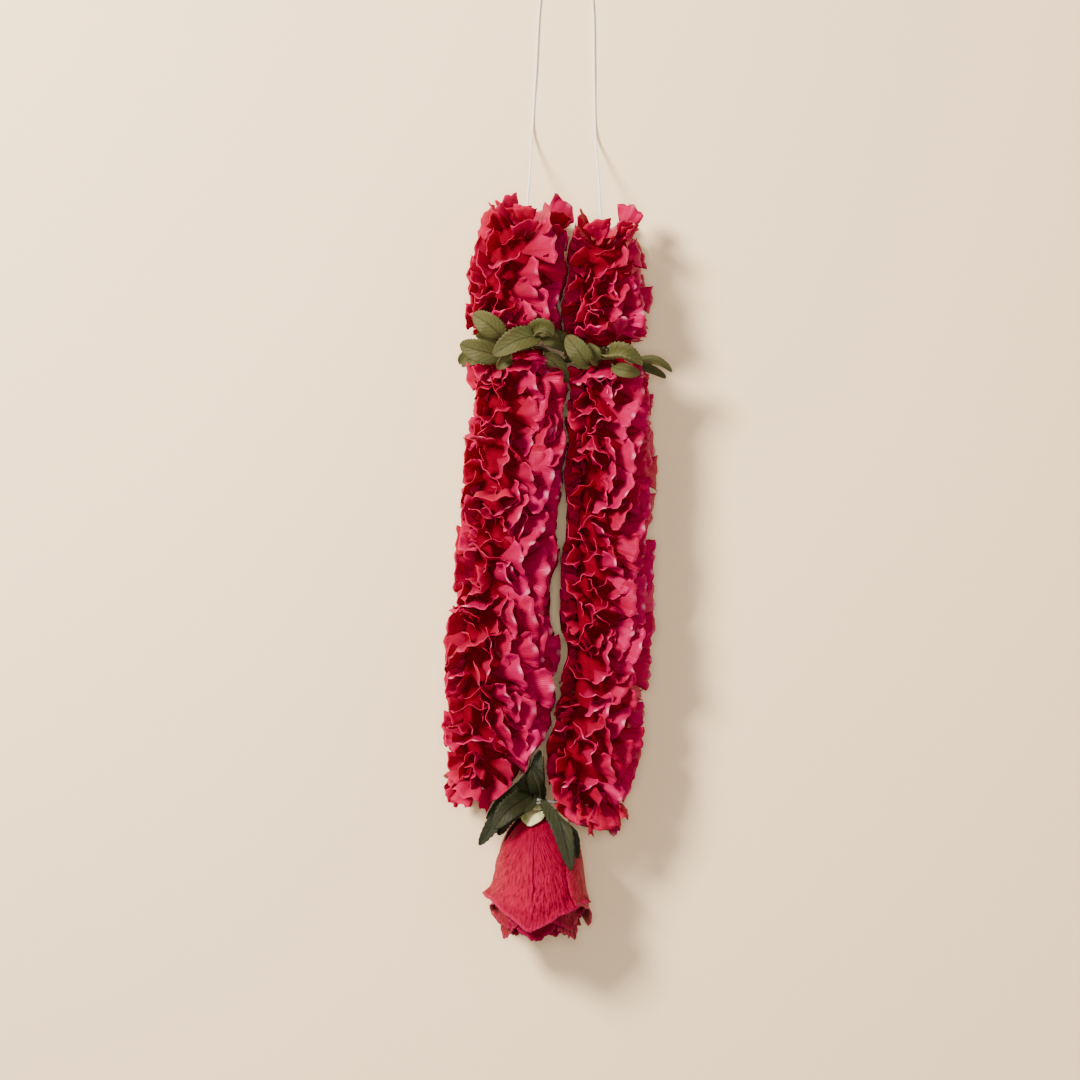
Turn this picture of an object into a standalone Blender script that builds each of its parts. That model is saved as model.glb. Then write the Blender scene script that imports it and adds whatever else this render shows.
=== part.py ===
"""Rose petal garland, lying on its back on a flat surface.

Two strands of folded rose petals hang side by side on a cotton thread. Each strand has a collar of rose
leaves near its top, and the two strands meet at a knot that carries more leaves and one upside-down rose.
A bare neck cord joins the strand tops.

Frame: metres, +Y towards the neck cord, +X to the right as the garland is looked at, +Z towards the viewer.
The origin is the bottom centre of the garland without its neck cord, on the surface that it lies on.
"""

import itertools
import math
import random

import bmesh
import bpy
from mathutils import Matrix, Vector

MM = 0.001
OUTWARD = Vector((0.0, 0.0, 1.0))

# Driving dimensions, in millimetres and degrees.
# A strand row is x, y and petal radius along the thread, from the top of the strand to the knot.
LEFT_STRAND = (
    (-17.5, 192.0, 24.0),
    (-20.5, 174.0, 27.0),
    (-23.5, 151.0, 28.5),
    (-23.0, 126.0, 26.5),
    (-21.5, 103.0, 27.0),
    (-23.0, 78.0, 29.0),
    (-25.2, 50.0, 29.5),
    (-27.2, 17.0, 28.5),
    (-31.0, -17.0, 29.5),
    (-33.2, -45.0, 30.5),
    (-33.8, -73.0, 30.5),
    (-34.8, -97.0, 29.5),
    (-38.0, -112.0, 25.5),
    (-42.0, -121.0, 21.0),
    (-45.5, -129.0, 17.0),
)
RIGHT_STRAND = (
    (25.6, 185.0, 22.0),
    (27.2, 171.0, 23.5),
    (27.6, 151.0, 24.0),
    (29.0, 122.0, 23.5),
    (30.0, 95.0, 24.0),
    (30.5, 67.0, 25.5),
    (28.8, 39.0, 26.0),
    (27.6, 11.0, 26.0),
    (27.2, -17.0, 27.0),
    (26.8, -45.0, 26.0),
    (25.6, -67.0, 25.5),
    (22.5, -90.0, 27.0),
    (19.0, -110.0, 26.0),
    (17.5, -127.0, 23.0),
    (18.0, -136.0, 19.0),
)
LEFT_AXIS_Z = 26.5
RIGHT_AXIS_Z = 24.5
LEFT_COLLAR_Y = 126.0
RIGHT_COLLAR_Y = 122.0
LEFT_CORE_END_Y = -121.0
RIGHT_CORE_END_Y = -131.0

# The strands' petals keep to their own side of these lines, given as y and x.
LEFT_STRAND_EDGE = (
    (230.0, 4.2),
    (60.0, 4.2),
    (-10.0, -1.8),
    (-75.0, -2.2),
    (-94.0, -6.7),
    (-103.0, -14.5),
    (-112.0, -17.0),
    (-121.0, -26.0),
    (-129.0, -36.0),
    (-138.0, -41.0),
    (-155.0, -48.0),
)
RIGHT_STRAND_EDGE = (
    (230.0, 6.0),
    (60.0, 6.0),
    (-10.0, 0.6),
    (-75.0, 0.2),
    (-98.0, -5.0),
    (-128.0, -3.0),
    (-137.0, 5.5),
    (-145.0, 12.5),
    (-154.0, 16.5),
    (-165.0, 18.0),
)
EDGE_SOFTNESS = 0.9
FLOOR_SOFTNESS = 0.8
FLOOR_BITE = 0.9
# Neighbouring petals keep margins that differ by a few steps, so that no two of them share a face.
MARGIN_STEP = 0.35
MARGIN_STEPS = 7
FLOOR_MARGIN_SHARE = 0.3
COLLAR_REACH = 40.0
MERGE_DISTANCES = (0.01, 0.001)
WELD = 0.0001
FLOOR_BLOCK_SIZE = 600.0

THREAD_D = 1.2
BORE_GAP = 0.35
SEAT_GAP = 0.3
STATION_STEP = 24.0
CORE_SHARE = 0.34
CORE_END_SHARE = 0.45
COLLAR_RADIUS = 3.4
COLLAR_LENGTH = 5.6
COLLAR_FLARE = 0.40
SECTION_GAP = 0.9
LEAF_GAP = 2.2

PETAL_THICKNESS = 0.8
PETAL_STEP = 3.16
SHORT_RUN_SHARE = 0.8
CLOSING = 40.0
PETAL_ROOT = 4.5
PETAL_SPREAD = 54.0
PETAL_SWEEP = 52.0
PETAL_FOLD = 68.0
RIM_COLUMNS = (5, 3)
PETAL_SHARES = (1.0, 0.92, 0.84, 0.76, 0.68, 0.6, 0.52)
MOST_PUSHED = 1.6
TOP_LEAN = 52.0
BOTTOM_LEAN = 60.0
COLLAR_LEAN = 20.0
CROWDING = 18.0
CROWDED_AZIMUTH = 125.0
END_REACH = 26.0
END_STRAIGHTENING = 0.8
DROOP = 6.0
PETAL_SIZES = (1.02, 1.17)
PETAL_FLARES = (0.15, 0.5)
CROWN_PETALS = 4
CROWN_INSET = 2.5
CROWN_AZIMUTH = 72.0
CROWN_TURN = 30.0
CROWN_LEAN = 62.0
COLLAR_CROWN_LEAN = 24.0
CROWN_SIZE = 0.95
# Seeded wander in degrees, and the shares of it that a petal's twist, azimuth and lean take.
JITTER = 6.0
TWIST_JITTERS = (-2.0, 1.4)
AZIMUTH_JITTER = 0.6
LEAN_JITTER = 0.8
GOLDEN_ANGLE = 137.508
FIRST_SEED = 11
FLAT_ANGLES = (7.0, 3.0, 1.0)
COPLANAR_ANGLES = (0.2, 0.05)

LEAF_THICKNESS = 0.8
LEAF_STALK = 3.5
ROOT_DEPTH = 1.2
LEAF_TEETH = (0.84, 1.00, 0.84, 0.90, 0.58)
TOOTH_FORWARD = 1.2
STALK_WIDTH = 1.3

# The rose hangs along -Y from its stem, on this axis.
ROSE_X = -9.5
ROSE_Z = 27.5
STEM_TOP_Y = -119.0
STEM_RADIUS = 2.0
HIP_TOP_Y = -130.8
BLOOM_TOP_Y = -138.0
BLOOM_RIM_Y = -186.0
WRAP_Y = -129.2
WRAP_RADIUS = 3.0
SLEEVE_TOP_Y = -121.0
SLEEVE_END_Y = -127.3
SLEEVE_RADIUS = 3.6
SLEEVE_SIDES = 12
WRAP_SIDES = (16, 6)

WRAP_THICKNESS = 1.3
WRAP_HEIGHT = 2.6
BLOOM_PROFILE = (
    (-138.0, 13.5),
    (-145.6, 19.0),
    (-154.0, 22.4),
    (-162.4, 24.2),
    (-170.8, 25.2),
    (-179.2, 26.0),
    (-186.0, 27.0),
)
BUD_PROFILE = (
    (-138.0, 6.5),
    (-141.0, 12.5),
    (-152.0, 18.0),
    (-178.0, 16.0),
    (-190.0, 10.0),
    (-196.0, 4.0),
)
# A ring is its first azimuth, petal count, half spread, rim y, inset, corner share and drop.
ROSE_RINGS = (
    (94.0, 5, 41.0, -198.0, 0.4, 0.22, 1.5),
    (58.0, 5, 36.0, -199.0, 4.6, 0.02, 1.0),
    (95.0, 3, 50.0, -205.0, 10.0, 0.06, 1.0),
)
PETAL_LAP = 1.3
ROLL_OUT = 3.2
ROSE_PETAL_THICKNESS = 0.9
TURNED_SIDES = 10
CALYX_PROFILE = (
    (-119.0, 2.0),
    (-130.8, 2.0),
    (-131.3, 4.4),
    (-133.5, 5.6),
    (-136.0, 5.4),
    (-137.7, 4.2),
)
# A sepal row is y, radius from the axis and half its width in degrees.
SEPAL_ROWS = (
    (-134.5, 4.0, 12.0),
    (-134.4, 9.0, 19.0),
    (-135.8, 14.2, 16.0),
    (-138.8, 17.6, 9.0),
    (-142.8, 20.4, 0.0),
)
SEPALS = 5
SEPAL_TURN = 36.0
PENDANT_STALK = 0.22
PENDANT_ROOT_DROP = 2.5
PENDANT_GAP = 0.9
BLOOM_REACH = 4.0
BLOOM_GAP = 1.6
# A pendant leaf is the azimuth of its root, its midrib's points, its width and the turn of its blade.
PENDANT_LEAVES = (
    (150.0, ((-20.0, -126.0, 34.0), (-32.0, -137.0, 42.0), (-43.5, -153.0, 40.0)), 12.0, 20.0),
    (130.0, ((-17.0, -127.0, 38.0), (-27.0, -135.0, 47.0), (-35.5, -146.0, 49.0)), 12.0, 10.0),
    (100.0, ((-11.0, -124.0, 36.0), (-11.0, -113.0, 40.0), (-11.5, -100.0, 38.0)), 9.0, 20.0),
    (80.0, ((-5.0, -127.5, 38.0), (2.0, -140.0, 50.0), (7.8, -166.0, 53.0)), 13.0, 0.0),
    (50.0, ((-1.5, -127.0, 34.0), (7.0, -139.0, 43.0), (11.5, -160.0, 44.0)), 11.0, 10.0),
    (230.0, ((-16.0, -128.0, 18.0), (-27.0, -137.0, 10.0), (-33.0, -150.0, 6.0)), 13.0, -20.0),
)
LEFT_THREAD_END = ((-39.5, -125.0, 26.8), (-27.0, -128.0, 27.0), (-13.45, -129.0, 27.4))
RIGHT_THREAD_END = ((14.0, -134.0, 25.5), (5.0, -130.5, 27.0), (-5.55, -129.2, 27.4))

# The neck cord's route: out of the left strand, down to the surface, round its loop and back.
CORD_ROUTE = (
    (-17.2, 194.5, 26.5),
    (-16.5, 206.0, 26.5),
    (-15.4, 220.0, 24.0),
    (-14.6, 236.0, 9.0),
    (-13.6, 252.0, 0.9),
    (-11.6, 285.0, 0.75),
    (-9.8, 318.0, 0.75),
    (-6.5, 334.0, 0.75),
    (5.7, 343.0, 0.75),
    (17.5, 334.0, 0.75),
    (20.6, 318.0, 0.75),
    (21.2, 285.0, 0.75),
    (21.8, 250.0, 0.9),
    (22.6, 234.0, 8.5),
    (23.6, 216.0, 22.5),
    (24.3, 202.0, 24.5),
    (25.4, 187.5, 24.5),
)
CORD_SAMPLES = 40
CORD_POINTS = 66
CORD_RESOLUTION = 2
INNER_THREAD_RESOLUTION = 1

# A leaf row is azimuth, rise, length, width, roll and arch: azimuth 0 is +X and 90 is towards the viewer.
LEFT_COLLAR_LEAVES = (
    (152.0, 20.0, 31.0, 17.0, 60.0, 0.0),
    (172.0, 0.0, 33.0, 18.0, 65.0, 8.0),
    (97.0, 25.0, 31.0, 24.0, 0.0, 0.0),
    (60.0, 20.0, 26.0, 14.0, 30.0, 12.0),
    (120.0, -18.0, 24.0, 14.0, 0.0, 6.0),
    (40.0, 2.0, 27.0, 15.0, 20.0, 0.0),
    (192.0, -12.0, 34.0, 13.0, 40.0, 8.0),
    (228.0, -6.0, 28.0, 17.0, -15.0, 4.0),
    (266.0, 5.0, 27.0, 18.0, 0.0, 4.0),
    (310.0, -6.0, 28.0, 17.0, 15.0, 6.0),
)
RIGHT_COLLAR_LEAVES = (
    (130.0, 17.0, 28.0, 17.0, 35.0, 0.0),
    (98.0, -4.0, 25.0, 15.0, 40.0, 4.0),
    (58.0, 9.0, 28.0, 16.0, 55.0, 14.0),
    (36.0, -14.0, 29.0, 15.0, 30.0, 6.0),
    (6.0, 0.0, 33.0, 15.0, 45.0, 16.0),
    (-18.0, -6.0, 32.5, 14.0, 30.0, 16.0),
    (166.0, 2.0, 26.0, 15.0, -25.0, 4.0),
    (208.0, -6.0, 27.0, 15.0, -15.0, 4.0),
    (252.0, 5.0, 27.0, 17.0, 0.0, 4.0),
    (302.0, -5.0, 28.0, 17.0, 10.0, 6.0),
)


def clear_scene():
    """Removes whatever the file opened with."""
    for opened in list(bpy.data.objects):
        bpy.data.objects.remove(opened)


def new_collection(name, hidden=False):
    """A collection in the scene; a hidden one holds cutters and other helpers."""
    made = bpy.data.collections.new(name)
    bpy.context.scene.collection.children.link(made)
    made.hide_render = hidden
    return made


def material(name, colour, roughness):
    """A Principled material with one colour."""
    made = bpy.data.materials.new(name)
    made.use_nodes = True
    shader = made.node_tree.nodes["Principled BSDF"]
    shader.inputs["Base Color"].default_value = (*colour, 1.0)
    shader.inputs["Roughness"].default_value = roughness
    made.diffuse_color = (*colour, 1.0)
    return made


def spline_point(rows, t):
    """A Catmull-Rom point through rows of numbers; t runs from 0 to len(rows) - 1."""
    last = len(rows) - 1
    i = min(int(t), last - 1)
    f = t - i
    around = (rows[max(i - 1, 0)], rows[i], rows[i + 1], rows[min(i + 2, last)])
    return [
        0.5 * (2 * b + (c - a) * f + (2 * a - 5 * b + 4 * c - d) * f**2 + (3 * b - a - 3 * c + d) * f**3)
        for a, b, c, d in zip(*around)
    ]


def line_at(rows, y):
    """The x of a line given as rows of y and x, with y falling from row to row."""
    for (y0, x0), (y1, x1) in zip(rows, rows[1:]):
        if y >= y1:
            return x0 + (x1 - x0) * min(max((y0 - y) / (y0 - y1), 0.0), 1.0)
    return rows[-1][1]


def eased_below(value, limit, softness):
    """The value, eased so that it never passes the limit."""
    room = (limit - value) / softness
    return value if room > 30.0 else limit - softness * math.log1p(math.exp(room))


class Route:
    """The thread's route through one strand, in millimetres, with the petal radius at each place."""

    SAMPLES = 20

    def __init__(self, rows, axis_z):
        count = (len(rows) - 1) * self.SAMPLES
        found = [spline_point(rows, i / self.SAMPLES) for i in range(count + 1)]
        self.points = [Vector((x, y, axis_z)) for x, y, _ in found]
        self.radii = [radius for _, _, radius in found]
        self.lengths = [0.0]
        for a, b in zip(self.points, self.points[1:]):
            self.lengths.append(self.lengths[-1] + (b - a).length)

    def at(self, length):
        """The point, the direction up towards the neck, and the petal radius at a length from the top."""
        i = 0
        while i < len(self.points) - 2 and self.lengths[i + 1] < length:
            i += 1
        f = (length - self.lengths[i]) / (self.lengths[i + 1] - self.lengths[i])
        point = self.points[i] + (self.points[i + 1] - self.points[i]) * f
        upward = (self.points[i] - self.points[i + 1]).normalized()
        return point, upward, self.radii[i] + (self.radii[i + 1] - self.radii[i]) * min(max(f, 0.0), 1.0)

    def length_at_y(self, y):
        """The length from the top at which the route reaches this y."""
        i = next(k for k, p in enumerate(self.points) if p.y <= y)
        above, below = self.points[i - 1].y, self.points[i].y
        return self.lengths[i - 1] + (self.lengths[i] - self.lengths[i - 1]) * (above - y) / (above - below)

    def stations(self, start, end):
        """Places along the route from one length to another, about a station step apart."""
        count = max(2, round((end - start) / STATION_STEP))
        return [self.at(start + (end - start) * i / count) for i in range(count + 1)]


def object_from(bm, name, collection, finish=None):
    """An object made of a bmesh in millimetres, which it frees."""
    bmesh.ops.scale(bm, vec=(MM, MM, MM), verts=bm.verts)
    mesh = bpy.data.meshes.new(name)
    bm.to_mesh(mesh)
    bm.free()
    if finish:
        mesh.materials.append(finish)
    made = bpy.data.objects.new(name, mesh)
    collection.objects.link(made)
    return made


def round_curve(name, points, radii, collection, resolution):
    """A round tube with filled caps along points, as a curve; all in millimetres, with a radius per point."""
    curve = bpy.data.curves.new(name, "CURVE")
    curve.dimensions = "3D"
    curve.bevel_depth = MM
    curve.bevel_resolution = resolution
    curve.use_fill_caps = True
    spline = curve.splines.new("POLY")
    spline.points.add(len(points) - 1)
    for place, point, radius in zip(spline.points, points, radii):
        place.co = (*(point * MM), 1.0)
        place.radius = radius
    made = bpy.data.objects.new(name, curve)
    collection.objects.link(made)
    return made


def solid_from(guide, name, collection, finish=None):
    """A closed mesh object made of a guide's evaluated shape, with its seams welded; the guide is removed."""
    bpy.context.view_layer.update()
    graph = bpy.context.evaluated_depsgraph_get()
    mesh = bpy.data.meshes.new_from_object(guide.evaluated_get(graph))
    bpy.data.objects.remove(guide)
    bm = bmesh.new()
    bm.from_mesh(mesh)
    bmesh.ops.remove_doubles(bm, verts=bm.verts, dist=WELD * MM)
    bmesh.ops.recalc_face_normals(bm, faces=bm.faces)
    bm.to_mesh(mesh)
    bm.free()
    mesh.materials.clear()
    if finish:
        mesh.materials.append(finish)
    made = bpy.data.objects.new(name, mesh)
    collection.objects.link(made)
    return made


def solid_tube(name, points, radii, collection, finish=None, sides=8):
    """A capped tube along points, as a mesh object."""
    guide = round_curve(name + "_guide", points, radii, collection, sides // 2 - 2)
    return solid_from(guide, name, collection, finish)


def apply_boolean(body, operation, tools):
    """Joins or cuts the body by every object of a collection, which is then removed with them."""
    modifier = body.modifiers.new("boolean", "BOOLEAN")
    modifier.operation = operation
    modifier.solver = "MANIFOLD"
    modifier.operand_type = "COLLECTION"
    modifier.collection = tools
    bpy.context.view_layer.update()
    graph = bpy.context.evaluated_depsgraph_get()
    mesh = bpy.data.meshes.new_from_object(body.evaluated_get(graph))
    body.modifiers.clear()
    finish = body.data.materials[0]
    body.data = mesh
    mesh.materials.clear()
    mesh.materials.append(finish)
    for used in list(tools.objects):
        bpy.data.objects.remove(used)
    bpy.data.collections.remove(tools)


def largest_shell(bm):
    """Leaves only the shell with the most faces: loose scraps go, and sealed hollows are filled."""
    unseen, shells = set(bm.faces), []
    while unseen:
        shell, frontier = set(), [unseen.pop()]
        while frontier:
            face = frontier.pop()
            shell.add(face)
            for edge in face.edges:
                for near in edge.link_faces:
                    if near in unseen:
                        unseen.remove(near)
                        frontier.append(near)
        shells.append(shell)
    outer = max(shells, key=len)
    bmesh.ops.delete(bm, geom=[f for shell in shells if shell is not outer for f in shell], context="FACES")


def drop_spare_points(bm):
    """Removes points that only divide an edge between two faces."""
    bmesh.ops.dissolve_verts(bm, verts=[vert for vert in bm.verts if len(vert.link_edges) == 2])


def tidy(body, angles):
    """Joins a body's slivers into flat faces, as far as it stays closed, and keeps its outer shell."""
    for merge, angle in itertools.product(MERGE_DISTANCES, angles):
        bm = bmesh.new()
        bm.from_mesh(body.data)
        bmesh.ops.remove_doubles(bm, verts=bm.verts, dist=merge * MM)
        bmesh.ops.dissolve_degenerate(bm, edges=bm.edges, dist=merge * MM)
        drop_spare_points(bm)
        bmesh.ops.dissolve_limit(bm, angle_limit=math.radians(angle), verts=bm.verts, edges=bm.edges)
        drop_spare_points(bm)
        bmesh.ops.triangulate(bm, faces=bm.faces)
        largest_shell(bm)
        closed = all(len(edge.link_faces) == 2 for edge in bm.edges)
        if closed:
            bm.to_mesh(body.data)
        bm.free()
        if closed:
            return


def floor_block(cutters):
    """A block under the surface, which trims what is pressed against it flat."""
    bm = bmesh.new()
    bmesh.ops.create_cube(bm, size=FLOOR_BLOCK_SIZE)
    bmesh.ops.translate(bm, vec=(0.0, 0.0, -FLOOR_BLOCK_SIZE / 2), verts=bm.verts)
    return object_from(bm, "floor_block", cutters)


def trim(body, angles, thread=(), radius=0.0, sides=8):
    """Trims a body flat at the floor, cuts a thread's hole through it where one is given, and tidies it."""
    cutters = new_collection(body.name + "_cutters", hidden=True)
    floor_block(cutters)
    if thread:
        solid_tube(body.name + "_hole", thread, [radius] * len(thread), cutters, sides=sides)
    apply_boolean(body, "DIFFERENCE", cutters)
    tidy(body, angles)


def strip(bm, first, second):
    """Faces between two rows of vertices that may differ in number."""
    i = j = 0
    while i < len(first) - 1 or j < len(second) - 1:
        left = i / max(len(first) - 1, 1)
        right = j / max(len(second) - 1, 1)
        if j == len(second) - 1 or (i < len(first) - 1 and left < right):
            bm.faces.new((first[i], first[i + 1], second[j]))
            i += 1
        else:
            bm.faces.new((first[i], second[j + 1], second[j]))
            j += 1


def blade(rows, thickness, name, collection, finish=None):
    """A thin blade on rows of points from root to tip."""
    bm = bmesh.new()
    made = [[bm.verts.new(point) for point in row] for row in rows]
    for first, second in zip(made, made[1:]):
        strip(bm, first, second)
    bmesh.ops.recalc_face_normals(bm, faces=bm.faces)
    made = object_from(bm, name, collection, finish)
    shell = made.modifiers.new("thickness", "SOLIDIFY")
    shell.thickness = thickness * MM
    shell.offset = 0.0
    return made


class Petal:
    """One folded rose petal, threaded at its root and standing out of the strand like an open pocket.

    Along is the way out from the thread, opening is the side that the fold opens to, and across is the third
    direction, near the thread's own.
    """

    FOLD_ROUNDNESS = 1.2
    CORNER_RISE = 0.10
    WAVE_HEIGHT = 0.03
    WAVES = 5.0
    FLARE_START = 0.45
    MIDDLE_ROW = (0.55, (-0.95, 0.0, 0.95))

    def __init__(self, root, along, opening, across, length, fold, flare, wave):
        self.root, self.along, self.opening, self.across = root, along, opening, across
        self.length, self.fold, self.flare, self.wave = length, math.radians(fold), flare, wave

    def point(self, u, v):
        """The point at u across, from -1 to 1, and v along, from 0 at the root to 1 at the rim."""
        spread = math.radians(PETAL_SPREAD) * u
        rim = 1.0 - self.CORNER_RISE * (1.0 - u * u) + self.WAVE_HEIGHT * math.cos(self.wave + self.WAVES * u)
        reach = self.length * v * rim
        aside = math.sqrt((reach * math.sin(spread)) ** 2 + self.FOLD_ROUNDNESS**2) - self.FOLD_ROUNDNESS
        back = aside * math.cos(self.fold) - self.length * self.flare * max(0.0, v - self.FLARE_START) ** 2
        over = math.copysign(aside * math.sin(self.fold), u)
        return self.root + self.along * (reach * math.cos(spread)) + self.opening * back + self.across * over

    def rows(self, rim_columns):
        """Rows of points for a plain blade: the root, a middle row and the rim."""
        rim = [2.0 * k / (rim_columns - 1) - 1.0 for k in range(rim_columns)]
        plan = ((0.0, (0.0,)), self.MIDDLE_ROW, (1.0, rim))
        return [[self.point(u, v) for u in across] for v, across in plan]


def beside_line(point, edge, side, margin=0.0):
    """Keeps a point on one side of an edge line; side is 1 for the left strand and -1 for the right one."""
    limit = line_at(edge, point.y) * side - margin
    point.x = side * eased_below(side * point.x, limit, EDGE_SOFTNESS)


def above_floor(point, margin=0.0):
    """Presses a point that would pass the floor flat against it."""
    point.z = -eased_below(-point.z, FLOOR_BITE - PETAL_THICKNESS / 2 - margin, FLOOR_SOFTNESS)


class Section:
    """A run of petals on one strand, between an upper and a lower length along its route."""

    def __init__(self, strand, top, bottom, open_top=False, open_bottom=False):
        self.strand, self.top, self.bottom = strand, top, bottom
        self.open_top, self.open_bottom = open_top, open_bottom

    def settle(self, point, margin):
        """Eases a point to the strand's own side, clear of the collar and above the floor."""
        point = point.copy()
        beside_line(point, self.strand.edge, self.strand.side, margin)
        above = 1.0 if self.bottom <= self.strand.collar else -1.0
        centre, upward, _ = self.strand.route.at(self.strand.collar)
        offset = point - centre
        height = offset.dot(upward)
        out = (offset - upward * height).length
        if abs(height) < COLLAR_REACH:
            room = COLLAR_LENGTH / 2 + SECTION_GAP + COLLAR_FLARE * out + margin
            point += upward * (above * -eased_below(-above * height, -room, EDGE_SOFTNESS) - height)
        above_floor(point, margin * FLOOR_MARGIN_SHARE)
        return point

    def fitted(self, petal, columns, margin):
        """The petal's rows at the largest size that fits; None where it would be a stub."""
        full = petal.length
        for share in PETAL_SHARES:
            petal.length = full * share
            free = petal.rows(columns)
            rows = [[self.settle(point, margin) for point in row] for row in free]
            pushed = max((a - b).length for first, second in zip(free, rows) for a, b in zip(first, second))
            if pushed < MOST_PUSHED:
                return rows
        return None

    def places(self, draw):
        """Places of the petals' roots as length, azimuth, lean, sweep, twist, share of size and fold."""
        count = round((self.bottom - self.top) / (PETAL_STEP * (SHORT_RUN_SHARE if self.open_top else 1.0)))
        for i in range(count):
            length = self.top + (i + 0.5) * (self.bottom - self.top) / count
            near_top = max(0.0, 1.0 - (length - self.top) / END_REACH)
            near_bottom = max(0.0, 1.0 - (self.bottom - length) / END_REACH)
            lean = near_top * (TOP_LEAN if self.open_top else -COLLAR_LEAN) - DROOP
            lean -= near_bottom * (BOTTOM_LEAN if self.open_bottom else -COLLAR_LEAN)
            ends = max(near_top if self.open_top else 0.0, near_bottom if self.open_bottom else 0.0)
            at_collar = max(0.0 if self.open_top else near_top, 0.0 if self.open_bottom else near_bottom)
            azimuth = i * GOLDEN_ANGLE
            azimuth -= CROWDING * math.sin(math.radians(azimuth - CROWDED_AZIMUTH))
            sweep = PETAL_SWEEP * (1.0 - END_STRAIGHTENING * ends)
            fold = PETAL_FOLD - CLOSING * at_collar + draw.uniform(-JITTER, JITTER)
            twist = draw.uniform(*TWIST_JITTERS) * JITTER
            yield length, azimuth, lean, sweep, twist, draw.uniform(*PETAL_SIZES), fold
        for k in range(CROWN_PETALS):
            azimuth = CROWN_AZIMUTH + 360.0 * k / CROWN_PETALS
            lean = CROWN_LEAN if self.open_top else -COLLAR_CROWN_LEAN
            yield self.top + CROWN_INSET, azimuth, lean, 0.0, -90.0, CROWN_SIZE, PETAL_FOLD
            lean = -CROWN_LEAN if self.open_bottom else COLLAR_CROWN_LEAN
            yield self.bottom - CROWN_INSET, azimuth + CROWN_TURN, lean, 0.0, 90.0, CROWN_SIZE, PETAL_FOLD

    def petals(self, seed):
        """The section's folded petals, in a spiral with a crown at each end and a seeded jitter."""
        draw = random.Random(seed)
        made = []
        for length, azimuth, lean, sweep, turned_by, share, fold in self.places(draw):
            centre, upward, radius = self.strand.route.at(length)
            turn = math.radians(azimuth + draw.uniform(-AZIMUTH_JITTER, AZIMUTH_JITTER) * JITTER)
            lateral = upward.cross(OUTWARD).normalized()
            out = lateral * math.cos(turn) + OUTWARD * math.sin(turn)
            opening = lateral * math.sin(turn) - OUTWARD * math.cos(turn)
            lean += draw.uniform(-LEAN_JITTER, LEAN_JITTER) * JITTER
            tilt = Matrix.Rotation(-math.radians(lean), 3, opening)
            yaw = Matrix.Rotation(math.radians(sweep + draw.uniform(-JITTER, JITTER)), 3, upward)
            twist = Matrix.Rotation(math.radians(turned_by), 3, out)
            frame = [tilt @ (yaw @ (twist @ way)) for way in (out, opening, upward)]
            size = (radius - PETAL_ROOT) * share
            root = centre + out * PETAL_ROOT
            flare, wave = draw.uniform(*PETAL_FLARES), draw.uniform(0.0, 6.3)
            made.append(Petal(root, *frame, size, fold, flare, wave))
        return made

    def build(self, name, seed, collection, finish):
        """The petals fused to their packed bases round the thread, with the thread's hole through them."""
        stations = self.strand.route.stations(self.top, self.bottom)
        girths = [CORE_SHARE * radius for _, _, radius in stations]
        girths[0] *= CORE_END_SHARE
        girths[-1] *= CORE_END_SHARE
        body = solid_tube(name, [point for point, _, _ in stations], girths, collection, finish)
        loose = new_collection(name + "_petals", hidden=True)
        for k, petal in enumerate(self.petals(seed)):
            margin = MARGIN_STEP * (3 * k % MARGIN_STEPS)
            rows = self.fitted(petal, RIM_COLUMNS[k % 2], margin)
            if rows:
                blade(rows, PETAL_THICKNESS, f"{name}_petal_{k}", loose)
        apply_boolean(body, "UNION", loose)
        tidy(body, FLAT_ANGLES)
        trim(body, COPLANAR_ANGLES, self.strand.thread, THREAD_D / 2 + BORE_GAP)
        return body


class Strand:
    """One side of the garland: its route, its collar's place and its thread from the knot to the cord."""

    def __init__(self, side_name, rows, axis_z, edge, side, collar_y, end_y, thread_end, cord_start):
        self.side_name, self.edge, self.side = side_name, edge, side
        self.route = Route(rows, axis_z)
        self.collar = self.route.length_at_y(collar_y)
        self.end = self.route.length_at_y(end_y)
        inside = [point for point, _, _ in self.route.stations(0.0, self.end)]
        self.thread = [*reversed(cord_start), *inside, *thread_end]
        self.inner_thread = [cord_start[0] - Vector((0.0, SEAT_GAP, 0.0)), *inside, *thread_end]

    def sections(self):
        """The runs of petals above and below the collar."""
        half = COLLAR_LENGTH / 2 + SECTION_GAP
        upper = Section(self, 0.0, self.collar - half, open_top=True)
        lower = Section(self, self.collar + half, self.end, open_bottom=True)
        return upper, lower


def leaf_outline(width):
    """Rows of a leaf's blade: share of its length, half its width, and how far its teeth point forward."""
    for k, tooth in enumerate(LEAF_TEETH):
        share = (k + 0.75) / (len(LEAF_TEETH) + 0.6)
        half = width / 2 * tooth * math.sin(math.pi * share**0.8) ** 0.55
        yield share, half, TOOTH_FORWARD if k % 2 else 0.0


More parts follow.
